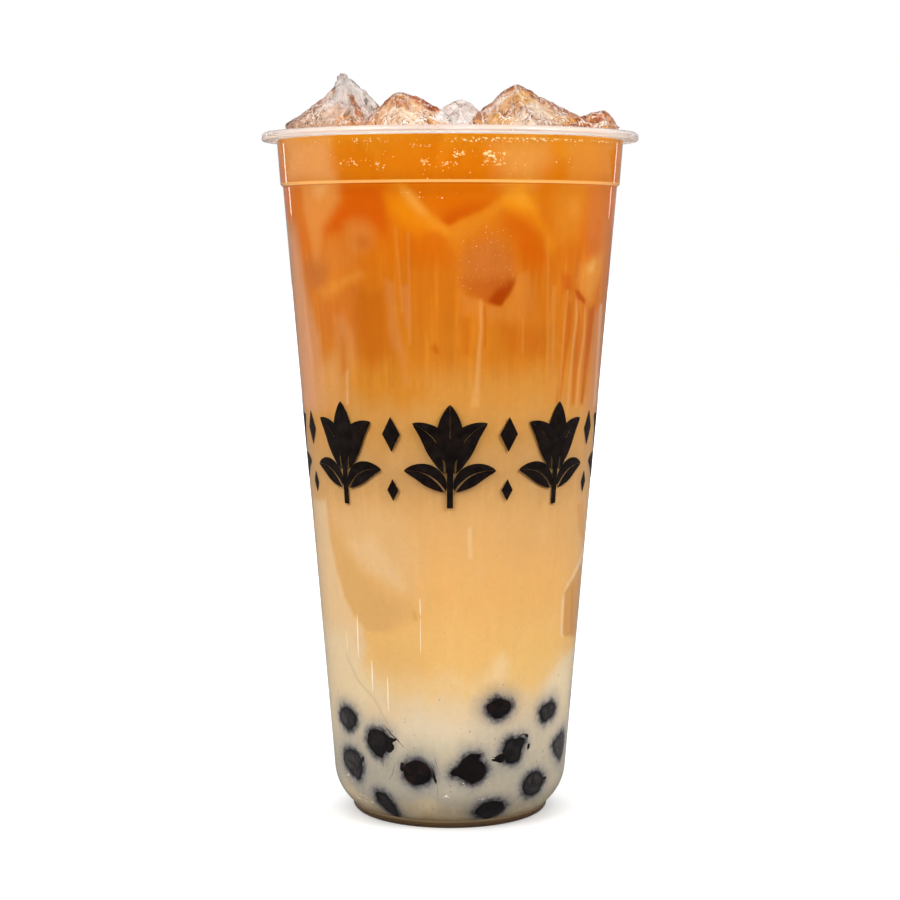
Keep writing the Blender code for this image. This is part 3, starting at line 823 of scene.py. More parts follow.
    "lens": ((222, 170, 104), 0.9, (0.5, 7.0, 45), (329, 530, 331, 541, 336.5, 570, 344, 594, 354.5, 617,
        366.5, 630, 379, 634, 391, 631.5, 403, 622, 413, 613, 402, 600, 386, 592, 366, 577, 350, 556,
        338, 540)),
    "lensSpot": ((217, 160, 88), 0.85, 0.9, (412, 611, 416, 613, 417.5, 620, 413, 621)),
    "milkLeft": ((238, 212, 170), 0.75, 8.0, (318, 618, 350, 636, 362, 668, 384, 694, 360, 722, 324, 716)),
    "amberLow": ((230, 178, 108), 0.5, 7.0, (364, 636, 404, 648, 430, 656, 426, 674, 396, 678, 372, 664)),
    "amberRight": ((238, 190, 112), 0.65, 6.0, (508, 654, 556, 628, 552, 668, 532, 690, 512, 682)),
    "milkRight": ((238, 216, 180), 0.8, 4.0, (548, 680, 562, 660, 578, 642, 574, 706, 540, 706)),
    "wisp": ((243, 210, 158), 0.65, 4.0, (488, 682, 494, 660, 504, 654, 510, 664, 502, 684)),
    "tallGlow": ((243, 206, 148), 0.6, 1.2, (468, 528, 471.5, 528, 472, 558, 468.5, 558)),
    "hair": ((196, 170, 132), 0.45, 0.5, (345, 652, 358, 680, 374, 698, 386, 720, 391, 733, 389, 733,
        384, 721, 372.5, 699, 356.5, 681, 344, 653)),
    "shardRim": ((243, 206, 156), 0.8, 0.6, (561, 636, 562.5, 600, 567.5, 584, 577, 566, 583, 545, 585, 560,
        580, 575, 569, 592, 565.5, 606, 564.5, 637)),
    "shard": ((212, 152, 82), 0.95, (0.45, 2.0, 0), (565.5, 592, 570, 584, 580, 566, 586, 560, 582, 626,
        574, 637, 563.5, 635)),
    "shardStripe": ((200, 138, 66), 0.6, 0.9, (571.5, 588, 574.5, 584, 573, 634, 570.5, 634)),
    "shardHigh": ((216, 156, 86), 0.85, 0.9, (577.5, 504, 584, 500, 584, 545, 579, 532)),
}


def awayFrom(corners, across, up):
    # distance to a polygon's outline, below zero inside it
    nearest = np.full(len(across), 1e9)
    inside = np.zeros(len(across), bool)
    for (ax, ay), (bx, by) in zip(corners, corners[1:] + corners[:1]):
        dx, dy = bx - ax, by - ay
        share = np.clip(((across - ax) * dx + (up - ay) * dy) / (dx * dx + dy * dy), 0.0, 1.0)
        nearest = np.minimum(nearest, np.hypot(across - ax - share * dx, up - ay - share * dy))
        at = ax + (up - ay) * dx / (dy if abs(dy) > 1e-9 else 1e-9)
        inside ^= ((ay > up) != (by > up)) & (across < at)
    return np.where(inside, -nearest, nearest)


def softness(soft, corners, across, up, turned):
    if not isinstance(soft, tuple):
        return soft
    low, high, heading = soft
    heading = math.radians(180.0 - heading if turned else heading)
    wayX, wayY = math.cos(heading), math.sin(heading)
    reach = [x * wayX + y * wayY for x, y in corners]
    share = (across * wayX + up * wayY - min(reach)) / (max(reach) - min(reach))
    return low + (high - low) * np.clip(share, 0.0, 1.0)


def asPaint(tone, height):
    # paint that ends up as a screen colour, once light has bounced between the drink and the wall
    light = np.interp(height, *zip(*drink["light"]))
    return tuple(value / (light + drink["bounce"] * value) for value in linear(tone)[:3]) + (1.0,)


def layMark(tones, chosen, colour, strength, distance, wide):
    # one mark over what is painted: colour times cover, and cover
    mask = np.clip(0.5 - distance / wide, 0.0, 1.0)
    share = (strength * mask * mask * (3.0 - 2.0 * mask))[:, None]
    tones[chosen] *= 1.0 - share
    tones[chosen] += share * np.array(colour)


def paintMarks(points):
    # every mark, painted light and shade among them, at the front, and again turned about and lower for the
    # back
    tones = np.zeros((len(points), 4))
    angle = np.degrees(np.arctan2(points[:, 0], -points[:, 1]))
    height = points[:, 2]
    about, lower = drink["behind"]
    for tone, strength, soft, pixels in marks.values():
        spots = [onWall(*pixel) for pixel in pairs(pixels)]
        middle = sum(h for _, h in spots) / len(spots)
        toWall = math.radians(1.0) * wallRadius(middle, drink["inset"])
        margin = max(soft[:2]) if isinstance(soft, tuple) else soft
        wander = min(1.0, margin / 4.0)      # outlines wander a little, thin ones less
        for turned in (False, True):
            corners = [((about - a) * toWall, h - lower) if turned else (a * toWall, h) for a, h in spots]
            across = (np.mod(angle, 360.0) if turned else angle) * toWall
            (left, low), (right, high) = np.min(corners, axis=0) - margin, np.max(corners, axis=0) + margin
            near = np.flatnonzero((across > left) & (across < right) & (height > low) & (height < high))
            if not len(near):
                continue
            across, up = across[near], height[near]
            moveAcross = wander * (0.2 * np.sin(across * 0.5 + up * 0.3) + 0.1 * np.sin(up * 0.7 - across))
            moveUp = wander * (0.2 * np.sin(across * 0.5 - up * 0.4 + 2.0) + 0.1 * np.sin(across * 1.7 + up))
            across, up = across + moveAcross, up + moveUp
            wide = softness(soft, corners, across, up, turned)
            layMark(tones, near, asPaint(tone, middle), strength, awayFrom(corners, across, up), wide)
    return tones


def pearlShade(points):
    # how much the pearls behind the drink's face shade it
    shade = np.zeros(len(points))
    unshaded = np.ones(len(points))
    nearReach, farReach, farDepth = pearl["halo"]
    limit = pearl["haloLimit"]
    angle = np.degrees(np.arctan2(points[:, 0], -points[:, 1]))
    for middle, height, outline, _, _ in pressed.values():
        turn = np.radians(np.mod(angle - middle + 180.0, 360.0) - 180.0)
        across = turn * wallRadius(height, drink["inset"])
        up = points[:, 2] - height
        near = np.flatnonzero((np.abs(across) < limit) & (np.abs(up) < limit))
        gap = np.maximum(awayFrom(outline[::2].tolist(), across[near], up[near]), 0.0)
        shade[near] = np.maximum(shade[near], np.exp(-gap / nearReach))
        unshaded[near] *= 1.0 - farDepth * np.exp(-gap / farReach)
    return np.maximum(shade, 1.0 - unshaded)


def fillProfile(low, high, step, openTop):
    inset = drink["inset"]
    profile = [(0.0, low)]
    if low < cup["floor"]:
        corner = cornerPoints(inset, low, 30)
        profile += [(reach, low) for reach in (6.0, 12.0, 18.0)] + corner
        rows = wallPoints(inset, corner[-1][1], high, step)[1:]
    else:
        profile += [(wallRadius(low, inset) * share, low) for share in (0.4, 0.8)]
        rows = wallPoints(inset, low, high, step)
    # the drink's face runs almost straight past the ledge, inside the plastic
    profile += [(reach + float(np.interp(height - ledge, *drink["eased"])), height) for reach, height in rows]
    edge = profile[-1][0]
    if not openTop:
        return profile + [(edge * share, high) for share in (0.8, 0.4, 0.0)]
    # the open surface, drawn up a little where it meets the wall
    rise = drink["meniscus"]
    for share in np.linspace(0.0, 1.0, 26)[1:-1] ** 1.5:
        inwards = edge * share
        profile.append((edge - inwards, drink["level"] + rise * math.exp(-inwards / rise)))
    return profile + [(0.0, drink["level"])]


def makeDrinkGroup():
    group, tree, inside = makeGroup("drinkLook", {"Swirl": 0.5, "Streaks": 0.5, "Specks": 0.0})
    place = tree.place()
    height = tree.height(place)
    # the border between layers rises and falls round the cup, and wisps hang from it
    slow = tree.noise(place, 55.0, 3.0, 0.55, 0.4, tall=0.7)
    cloud = tree.noise(place, 95.0, 4.0, 0.55, 1.2, tall=0.6)
    flow = tree.noise(place, 480.0, 3.0, 0.6, tall=0.02)
    drip = tree.noise(place, 260.0, 4.0, 0.65, 0.5, tall=0.15)
    lift = tree.times(tree.math("SUBTRACT", slow, 0.5), drink["wave"])
    swirl = tree.times(tree.math("SUBTRACT", cloud, 0.5), inside["Swirl"])
    level = tree.math("ADD", height, lift)
    level = tree.math("ADD", level, tree.times(swirl, 0.022))
    level = tree.math("ADD", level, tree.math("MULTIPLY_ADD", drip, 0.007, -0.0035))
    top = drink["layers"][-1][0]
    stops = [(stop / top, asPaint(tone, stop)) for stop, tone in drink["layers"]]
    colour = tree.ramp(tree.math("DIVIDE", level, top * mm), stops, "EASE")
    inTea = tree.remap(height, *(rise * mm for rise in drink["teaFrom"]))
    pale, dark = (tree.mix(inTea, *(asPaint(*pair) for pair in drink[kind])) for kind in ("pale", "dark"))
    # slow clouds
    colour = tree.lay(colour, pale, tree.times(tree.remap(cloud, 0.5, 0.8), inside["Swirl"]), 0.6)
    colour = tree.lay(colour, dark, tree.times(tree.remap(cloud, 0.5, 0.2), inside["Swirl"]), 0.5)
    # tall thin streaks, under the sunken ice
    band = tree.times(tree.band(height, drink["streaked"]), inside["Streaks"])
    colour = tree.lay(colour, pale, tree.times(tree.remap(flow, 0.53, 0.72), band), 0.55)
    colour = tree.lay(colour, dark, tree.times(tree.remap(flow, 0.47, 0.28), band), 0.5)
    # the painted marks: milk clouds, and sunken ice, bent light and the cup's edge reflections as painted
    # light and shade
    colour = tree.marked(colour)
    # streaks run faintly over the marks too, and a fine grain
    over = tree.math("MULTIPLY_ADD", tree.times(tree.math("SUBTRACT", flow, 0.5), band), 0.5, 1.0)
    grain = tree.noise(place, 620.0, 5.0, 0.7, 0.6)
    over = tree.math("ADD", over, tree.math("MULTIPLY_ADD", grain, 0.16, -0.08))
    colour = tree.add("VectorMath", {0: colour, "Scale": over}, operation="SCALE").outputs[0]
    # a painted highlight: the thin line of light that the ledge's step gathers
    line = tree.band(height, [ledge + rise for rise in drink["line"]])
    colour = tree.lay(colour, linear(drink["lineTone"]), line, 0.75)
    # specks of tea in the milk
    dots = tree.remap(tree.cells(place, 560.0), 0.17, 0.09)
    speck = tree.times(dots, tree.remap(tree.noise(place, 160.0, 1.0), 0.48, 0.6))
    colour = tree.lay(colour, linear((136, 102, 66)), tree.times(speck, inside["Specks"]), 0.55)
    # pearls close behind the milk show through it as a dark halo, and painted shade darkens the milk between
    # them
    fuzz = tree.math("MULTIPLY_ADD", tree.noise(place, 700.0, 4.0, 0.65), 1.3, 0.35)
    halo = tree.times(tree.attribute("pearlNear"), fuzz, clamp=True)
    colour = tree.lay(colour, linear((122, 122, 128)), tree.remap(halo, 0.08, 0.75, 0.0, 0.8, False))
    colour = tree.lay(colour, linear((32, 32, 39)), tree.remap(halo, 0.5, 1.0, 0.0, 0.92, False))
    return closeGroup(group, colour, tree.math("ADD", cloud, flow), tree.remap(cloud, 0.3, 0.7, 0.42, 0.55))


def groupMaterial(name, group, values, roughness, strength, depth, **plain):
    # a material that holds a shader group, with its own values
    made, tree, shader = newMaterial(name, **plain)
    look = tree.add("Group", values, node_tree=group).outputs
    wire(tree, shader, look["Colour"], roughness or look["Roughness"], look["Height"], strength, depth)
    return made, tree, shader


def makeDrinkMaterial(name, swirl, streaks, specks, roughness=None, gloss=0.0):
    values = {"Swirl": swirl, "Streaks": streaks, "Specks": specks}
    return groupMaterial(name, drinkGroup, values, roughness, 0.1, 0.05, gloss=gloss)[0]


def makeLayer(name, node, low, high, step, material, slot, topMaterial=None):
    profile = fillProfile(low, high, step, topMaterial)
    points = turnedPoints(profile, drink["columns"])
    mesh = meshFrom(name, points, ringFaces(len(profile) - 2, drink["columns"]), 50.0)
    setAttribute(mesh, "marks", paintMarks(points), "FLOAT_COLOR")
    setAttribute(mesh, "pearlNear", np.zeros(len(points)) if topMaterial else pearlShade(points))
    addPiece(name, mesh, material, slot, node)
    if topMaterial:
        mesh.materials.append(topMaterial)
        for face in mesh.polygons:
            if face.normal.z > 0.6 and face.center.z > drink["level"] * mm * 0.99:
                face.material_index = 1


drinkGroup = makeDrinkGroup()
milkMaterial = makeDrinkMaterial("milkLook", 0.3, 0.1, 1.0)
milkTeaMaterial = makeDrinkMaterial("milkTeaLook", 0.3, 0.15, 0.25)
teaMaterial = makeDrinkMaterial("teaLook", 0.45, 0.5, 0.0)
teaTopMaterial = makeDrinkMaterial("teaSurface", 0.8, 0.0, 0.0, 0.08, 0.5)
makeLayer("milk", "milk_layer", *drink["milk"], milkMaterial, "milk")
makeLayer("milkTea", "milk_tea_layer", *drink["milkTea"], milkTeaMaterial, "milk_tea")
makeLayer("tea", "tea_layer", *drink["tea"], teaMaterial, "tea", teaTopMaterial)
print("drink made")


# The pearls

def makePearlMaterial():
    made, tree, shader = newMaterial("tapiocaPearl", gloss=0.1)
    place = tree.place()
    blotch = tree.noise(place, 330.0, 4.0, 0.6, 0.8)
    fine = tree.noise(place, 1500.0, 3.0, 0.65)
    film = tree.times(tree.attribute("film"), tree.remap(blotch, 0.36, 0.62, 0.3, 1.0))
    film = tree.times(film, tree.remap(fine, 0.2, 0.6, 0.6, 1.0))
    red = tree.times(tree.attribute("redness"), tree.remap(blotch, 0.48, 0.64))
    colour = tree.mix(fine, linear((6, 4, 5)), linear((16, 11, 11)))
    colour = tree.lay(colour, linear((46, 20, 16)), red, 0.6)
    colour = tree.lay(colour, linear((84, 76, 77)), film, 0.8)
    wire(tree, shader, colour, tree.remap(blotch, 0.3, 0.7, 0.28, 0.45), blotch, 0.3, 0.1)
    return made


def onFaceOf(angle, height, local, inset):
    # points on the wall's inside, by their place on the unrolled wall
    turns = math.radians(angle) + local[:, 0] / contactRadius(height)
    ups = np.maximum(height + local[:, 1], pearl["floor"] + 0.1)
    reach = np.array([contactRadius(up) for up in ups]) - inset
    return np.stack([reach * np.sin(turns), -reach * np.cos(turns), ups], axis=1)


def tornOutline(outline, count, seed, torn):
    # evenly spaced points round the outline, roughened as torn tapioca is
    closed = np.vstack([outline, outline[:1]])
    steps = np.hypot(*np.diff(closed, axis=0).T)
    reach = np.concatenate([[0.0], np.cumsum(steps)])
    at = np.linspace(0.0, reach[-1], count, endpoint=False)
    made = np.stack([np.interp(at, reach, column) for column in closed.T], axis=1)
    along = np.roll(made, -1, axis=0) - np.roll(made, 1, axis=0)
    normal = np.stack([along[:, 1], -along[:, 0]], axis=1)
    normal /= np.maximum(np.hypot(normal[:, 0], normal[:, 1]), 1e-6)[:, None]
    if (normal * (made - made.mean(axis=0))).sum() < 0:
        normal = -normal
    for i, (x, y) in enumerate(made.copy()):
        spot = Vector((x, y, seed * 7.3))
        move = pearl["fine"] * noise.noise(spot / 0.35) + pearl["ragged"] * noise.noise(spot / 0.9)
        spike = max(0.0, noise.noise(spot / 1.3 + Vector((9.0, 2.0, 0.0))) - 0.22)
        made[i] += normal[i] * (move + torn * spike * (1.0 + noise.noise(spot / 0.3)))
    return made


def pressedPoints(angle, height, outline, deep, rows):
    # rings from a point behind the face to one on it: share of the outline, and depth
    middle = outline.mean(axis=0)
    behind, ahead = (onFaceOf(angle, height, middle[None, :], depth) for depth in (deep, 0.0))
    rings = [onFaceOf(angle, height, middle + (outline - middle) * share, depth) for share, depth in rows]
    return np.vstack([behind, *rings, ahead])


def makePearl(node, material):
    angle, height, outline, film, redness = pressed[node]
    count, back, deep = pearl["points"], pearl["backRings"], pearl["deep"]
    outline = tornOutline(outline, count, int(node[-2:]), pearl["torn"])
    # the hidden half first, from deep in the milk out to the wall
    turns = [math.pi / 2.0 * i / back for i in range(1, back + 1)]
    rows = [(math.sin(turn), deep * math.cos(turn)) for turn in turns]
    rows += [(share, 0.0) for share in pearl["rings"]]
    points = pressedPoints(angle, height, outline, deep, rows)
    mesh = meshFrom(node, points, ringFaces(len(rows), count, inwards=True))
    films = [0.0] * (1 + back * count)
    for share in pearl["rings"]:
        films += [film * min(1.0, (1.0 - share) / pearl["filmEdge"])] * count
    setAttribute(mesh, "film", films + [film])
    setAttribute(mesh, "redness", [redness] * len(points))
    addPiece(node.replace("pearl_", "pearl"), mesh, material, "tapioca", node)


def makeScraps(material):
    points, faces = [], []
    count, torn, thick = pearl["scrap"]
    rows = ((0.5, thick), (1.0, thick), (1.0, 0.0), (0.5, 0.0))
    for number, pixels in enumerate(scraps):
        angle, height, outline = faceOutline(pixels, 1)
        outline = tornOutline(outline, count, number, torn)
        faces += ringFaces(len(rows), count, len(points), True)
        points += pressedPoints(angle, height, outline, thick, rows).tolist()
    mesh = meshFrom("tapiocaScraps", points, faces)
    setAttribute(mesh, "film", [0.1] * len(points))
    setAttribute(mesh, "redness", [0.9] * len(points))
    addPiece("tapiocaScraps", mesh, material, "tapioca")


pearlMaterial = makePearlMaterial()
for pearlName in pearlNames:
    makePearl(pearlName, pearlMaterial)
makeScraps(pearlMaterial)
print("pearls made:", len(pearlNames))


# The ice

ice = {
    "cuts": 7,
    "frontCuts": 10,
    "smoothing": 6,
    "ridgeSmoothing": 30,
    "peakDrop": 0.3,            # how much lower the smoothed peak stays, for the relief
    "relief": ((0.45, 4.5), (0.3, 1.6), (0.16, 0.7)),       # swells, dimples and crackle: height and width
    "reach": 46.5,
    # pixels: how far down a lump is lifted with its peak, from row to row, how far below the outline
    # rows are measured, and over how much it lets go
    "fit": (22.0, 1.5, 8.0, 10.0),
    "bend": 1.31,
    "lamps": (0.93, 0.94, 0.95, 1.0),       # how much lamplight passes
    "light": 1.14,              # how much brighter than its paint the ice comes out
    # colours of the top, the body, the bent lines and the pale flecks, how clear it is, and the
    # heights between which the body turns into the top
    # the line colour also gives the painted shade of bent lines and ridges, and the pale colour the painted
    # highlight in hollows
    "clear": ((248, 250, 252), (212, 188, 170), (104, 88, 80), (255, 254, 253), 0.45, (175.0, 181.0)),
    "back": ((250, 250, 251), (240, 234, 230), (140, 128, 122), (255, 252, 250), 0.45, (172.0, 177.0)),
    "warm": ((200, 140, 84), (214, 168, 118), (142, 88, 48), (252, 222, 184), 0.15, (174.0, 179.0)),
    "kinds": {"ice_left": "clear", "ice_back": "back", "ice_middle": "back"},      # the others are warm
}

# The lumps at the front keep to these outlines in the photograph: row, left and right edge in turn
iceOutlines = {
    "ice_left": (72, 338.5, 344, 76, 335.5, 349, 80, 334.5, 353, 84, 333, 357.5, 90, 329, 364.5,
        97, 322.5, 372, 104, 315, 379, 110, 306, 383, 116, 296, 386, 121, 289, 388, 127, 284, 390),
    "ice_front_left": (92, 399, 404, 94, 394, 413, 97, 388, 421.5, 102, 382, 431, 107, 377.5, 439.5,
        112, 373, 446, 118, 368, 450, 125, 363.5, 453),
    "ice_back": (99.5, 456, 466, 103, 448, 473, 107, 440.5, 479, 111, 434, 483, 117, 429, 487),
    "ice_front_right": (84.3, 515.5, 521, 88, 508, 528.5, 92, 501.5, 535, 98, 494, 545, 104, 487, 556.5,
        110, 480, 569, 114, 476, 578, 119, 471.5, 586, 126, 467, 592),
    "ice_right": (111, 592, 605, 112.6, 585, 608.5, 115.5, 577, 612, 120, 571, 616, 127, 566, 621),
}

# Painted patches of light, shade, glints and colour in the ice, the tea seen bent through it among them,
# written as the drink's marks are, with softness in pixels
iceMarks = {
    "leftClear": ((254, 255, 255), 0.95, 5.0, (341, 70, 353, 74, 368, 88, 380, 101, 388, 112, 370, 122,
        363, 107, 352, 88, 344, 82)),
    "leftTip": ((234, 225, 220), 0.7, 2.5, (333, 70, 346, 69, 348, 77, 343, 82, 334, 84)),
    "leftWhite": ((255, 255, 255), 0.9, 2.5, (344, 78, 352, 81, 356, 92, 352, 97, 348, 90)),
    "leftGreyLine": ((150, 138, 130), 0.8, 1.2, (352, 78, 361, 83, 364, 89, 358, 87, 352, 82)),
    "leftBeige": ((226, 221, 218), 0.9, 6.0, (334, 84, 345, 83, 358, 106, 352, 113, 338, 106, 327, 98)),
    "leftFoot": ((219, 188, 160), 0.9, 6.0, (282, 130, 296, 122, 320, 112, 336, 104, 352, 112, 356, 128,
        330, 132)),
    "leftFlank": ((157, 102, 71), 0.85, 2.4, (280, 129, 293, 119.5, 306, 111, 316, 103, 325, 94, 332, 84,
        336, 88, 329, 100, 320, 108, 309, 116, 297, 123)),
    "leftFlankSpark": ((252, 236, 220), 0.9, 1.0, (300, 119, 312, 112, 315, 113, 303, 121)),
    "leftFlankSparkHigh": ((252, 240, 228), 0.9, 1.0, (322, 100, 330, 90, 332, 92, 325, 102)),
    "leftBelly": ((222, 204, 186), 0.85, 4.0, (312, 124, 322, 112, 334, 106, 340, 112, 336, 124)),
    "leftGold": ((249, 176, 91), 0.85, 4.0, (334, 128, 340, 116, 350, 112, 360, 120, 364, 128)),
    "leftStripe": ((202, 126, 68), 0.95, 1.4, (348, 96, 353, 95, 362, 110, 367, 123, 358, 123, 354, 110)),
    "leftStripeEdge": ((255, 246, 236), 0.95, 0.9, (345, 96, 347, 95.5, 354, 108, 361, 123, 358, 123,
        352, 109)),
    "leftStripeSide": ((255, 248, 240), 0.95, 0.9, (352.5, 93, 354.5, 93, 363.5, 108, 369, 122, 366.5, 123,
        361.5, 109)),
    "leftDarkOne": ((74, 62, 60), 0.9, 0.9, (365.5, 97, 367.5, 96.5, 368.5, 101, 366, 106, 364.5, 104)),
    "leftDarkTwo": ((30, 28, 30), 0.95, 0.9, (374.5, 99.5, 377, 99.5, 380.5, 105, 379.5, 107)),
    "leftDarkThree": ((108, 122, 132), 0.8, 1.4, (370, 108, 374, 106, 376, 111, 371, 113)),
    "leftPaleSide": ((250, 250, 250), 0.9, 1.8, (356, 104, 362, 100, 366, 108, 370, 116, 365, 116)),
    "secondBody": ((222, 170, 119), 0.9, 4.0, (362, 130, 378, 104, 392, 92, 412, 92, 450, 116, 450, 130)),
    "secondShade": ((188, 117, 67), 0.9, 3.0, (391, 99, 403, 96, 409, 103, 399, 107, 391, 105)),
    "secondBelly": ((241, 210, 175), 0.9, 3.0, (382, 128, 386, 112, 394, 106, 404, 110, 418, 114,
        428, 128)),
    "secondFlank": ((177, 84, 25), 0.95, 2.6, (407, 91, 421, 96, 442, 107, 436, 112, 429, 110, 420, 104,
        409, 98)),
    "secondFlankDeep": ((149, 68, 16), 0.9, 1.8, (427, 103, 440, 106.5, 434, 111, 429, 109)),
    "secondEdge": ((160, 94, 55), 0.8, 1.8, (364, 124, 378, 106, 390, 95, 400, 91, 408, 92, 400, 95,
        391, 99, 381, 109, 370, 123)),
    "secondSparks": ((244, 208, 168), 0.6, 1.2, (408, 98, 416, 104, 424, 110, 436, 118, 444, 123, 440, 124,
        428, 117, 416, 109)),
    "secondFoot": ((226, 162, 84), 0.85, 3.0, (420, 128, 430, 117, 448, 118, 452, 128)),
    "middleDome": ((248, 248, 248), 0.9, 1.8, (433, 119, 447, 101, 461, 97, 475, 102, 486, 118, 461, 127)),
    "middleLine": ((176, 164, 156), 0.8, 1.0, (446, 104, 456, 102, 466, 104, 474, 108, 466, 106, 456, 105)),
    "middleLineLow": ((170, 156, 148), 0.7, 1.0, (438, 112, 448, 114, 456, 111, 462, 116, 455, 114,
        448, 117)),
    "middleDark": ((120, 112, 84), 0.8, 1.4, (446, 119, 451, 119, 451, 121.5, 447, 121.5)),
    "thirdBody": ((222, 173, 120), 0.9, 4.0, (466, 130, 486, 100, 512, 82, 532, 86, 590, 116, 594, 130)),
    "thirdFoot": ((224, 167, 88), 0.9, 3.0, (468, 130, 480, 117, 496, 112, 508, 118, 512, 130)),
    "thirdEdge": ((178, 113, 71), 0.8, 3.0, (472, 120, 488, 102, 502, 90, 514, 84, 518, 88, 504, 100,
        494, 110, 482, 119)),
    "thirdEdgeSpark": ((252, 238, 224), 0.85, 1.4, (484, 112, 494, 102, 504, 94, 507, 97, 498, 106,
        488, 115)),
    "thirdGold": ((223, 171, 102), 0.9, 3.0, (511, 91, 523, 89, 531, 100, 525, 108, 515, 106, 510, 97)),
    "thirdTop": ((166, 86, 44), 0.7, 2.0, (512, 84, 524, 84, 532, 92, 526, 93, 519, 88, 512, 89)),
    "thirdBelly": ((223, 197, 169), 0.95, 3.0, (510, 130, 513, 114, 524, 104, 536, 104, 550, 114,
        562, 130)),
    "thirdFlank": ((161, 83, 36), 0.85, 2.4, (524, 88, 536, 92, 554, 103, 580, 115, 570, 120, 550, 112,
        536, 101)),
    "thirdFlankSpark": ((238, 200, 158), 0.65, 1.2, (532, 98, 544, 104, 560, 112, 572, 118, 566, 119,
        550, 112, 538, 105)),
    "thirdCorner": ((221, 150, 56), 0.9, 2.4, (564, 126, 570, 118, 578, 115, 582, 126)),
    "fourthBody": ((203, 114, 34), 0.9, 3.0, (566, 130, 588, 110, 606, 108, 624, 130)),
    "fourthEdge": ((155, 75, 30), 0.9, 1.6, (573, 119, 590, 112, 604, 110, 606, 113, 590, 115.5, 576, 121)),
    "fourthSpot": ((155, 79, 37), 0.9, 1.6, (594, 117, 602, 116.5, 603, 120, 596, 121.5)),
    "fourthPale": ((228, 170, 108), 0.7, 1.4, (592, 124, 602, 120, 612, 122, 612, 127, 594, 128)),
    "fourthSide": ((188, 117, 73), 0.85, 2.0, (605, 112, 613, 117, 622, 129, 612, 127)),
}


def makeIceGroup():
    white = (1.0, 1.0, 1.0, 1.0)
    colours = {key: white for key in ("Top Colour", "Body Colour", "Line Tint", "Pale Colour")}
    group, tree, inside = makeGroup("iceLook", {**colours, "Turn Low": 0.174, "Turn High": 0.18})
    place = tree.place()
    tint, pale = inside["Line Tint"], inside["Pale Colour"]
    wander = tree.noise(place, 160.0, 3.0, 0.6)
    level = tree.math("MULTIPLY_ADD", wander, 0.006, tree.math("SUBTRACT", tree.height(place), 0.003))
    share = tree.remap(level, inside["Turn Low"], inside["Turn High"])
    # the painted marks of light, shade and colour go over the body and the top
    colour = tree.marked(tree.mix(share, inside["Body Colour"], inside["Top Colour"]))
    # everything inside is bent about by the surface
    warp = tree.add("TexNoise", {"Vector": place, "Scale": 420.0, "Detail": 3.0}).outputs["Color"]
    sockets = {0: warp, 1: (0.0032, 0.0032, 0.0026), 2: place}
    bent = tree.add("VectorMath", sockets, operation="MULTIPLY_ADD").outputs[0]
    mottle = tree.noise(bent, 500.0, 4.0, 0.6)
    colour = tree.lay(colour, pale, tree.remap(mottle, 0.52, 0.7, 0.0, 0.5))
    colour = tree.lay(colour, tint, tree.remap(mottle, 0.48, 0.32, 0.0, 0.55), blend="MULTIPLY")
    thick = tree.remap(tree.noise(place, 230.0), 0.36, 0.6, 0.25, 1.0)
    thick = tree.times(thick, tree.math("MULTIPLY_ADD", share, -0.5, 1.0))
    # painted bent light: lines of painted shade, with a painted highlight beside them
    line = tree.cells(bent, 210.0, "DISTANCE_TO_EDGE")
    colour = tree.lay(colour, tint, tree.times(tree.remap(line, 0.07, 0.03), thick), 0.75, "MULTIPLY")
    beside = tree.add("VectorMath", {0: bent, 1: (0.0005, 0.0003, 0.0004)}, operation="ADD").outputs[0]
    light = tree.remap(tree.cells(beside, 210.0, "DISTANCE_TO_EDGE"), 0.055, 0.02)
    colour = tree.lay(colour, linear((255, 248, 238)), tree.times(light, thick), 0.9)
    # pale flecks with a darker outline, and beads of air
    cells = tree.cells(tree.stretched(bent, (1.0, 1.0, 0.6)), 640.0)
    colour = tree.lay(colour, tint, tree.times(tree.remap(cells, 0.47, 0.38), thick), 0.7, "MULTIPLY")
    colour = tree.lay(colour, linear((255, 246, 232)), tree.times(tree.remap(cells, 0.33, 0.25), thick), 0.95)
    bead = tree.times(tree.remap(tree.cells(bent, 1500.0), 0.24, 0.16), thick)
    colour = tree.lay(colour, linear((255, 250, 244)), bead, 0.8)
    # painted reflections: shade on the ridges, which would bend the dark of the room, and a highlight in the
    # hollows
    ridge = tree.attribute("ridge")
    colour = tree.lay(colour, tint, tree.remap(ridge, 0.25, 0.6, 0.0, 0.35), blend="MULTIPLY")
    colour = tree.lay(colour, pale, tree.remap(ridge, -0.2, -0.5, 0.0, 0.6))
    height = tree.math("ADD", mottle, tree.remap(line, 0.0, 0.12))
    frost = tree.noise(place, 420.0, 4.0, 0.65)
    return closeGroup(group, colour, height, tree.remap(frost, 0.52, 0.72, 0.03, 0.2))


def makeIceMaterial(kind):
    *tones, clear, turns = ice[kind]
    values = dict(zip(("Top Colour", "Body Colour", "Line Tint", "Pale Colour"), map(linear, tones)))
    values.update({"Turn Low": turns[0] * mm, "Turn High": turns[1] * mm})
    plain = {"clear": clear, "bend": ice["bend"]}
    parts = groupMaterial("ice" + kind.capitalize(), iceGroup, values, None, 0.8, 0.2, **plain)
    letLampsThrough(*parts, ice["lamps"])
    return parts[0]


def smoothed(points, edges, rounds):
    made = points.copy()
    counts = np.bincount(edges.ravel(), minlength=len(points))[:, None]
    for _ in range(rounds):
        total = np.zeros_like(made)
        np.add.at(total, edges[:, 0], made[edges[:, 1]])
        np.add.at(total, edges[:, 1], made[edges[:, 0]])
        made = 0.5 * made + 0.5 * total / counts
    return made


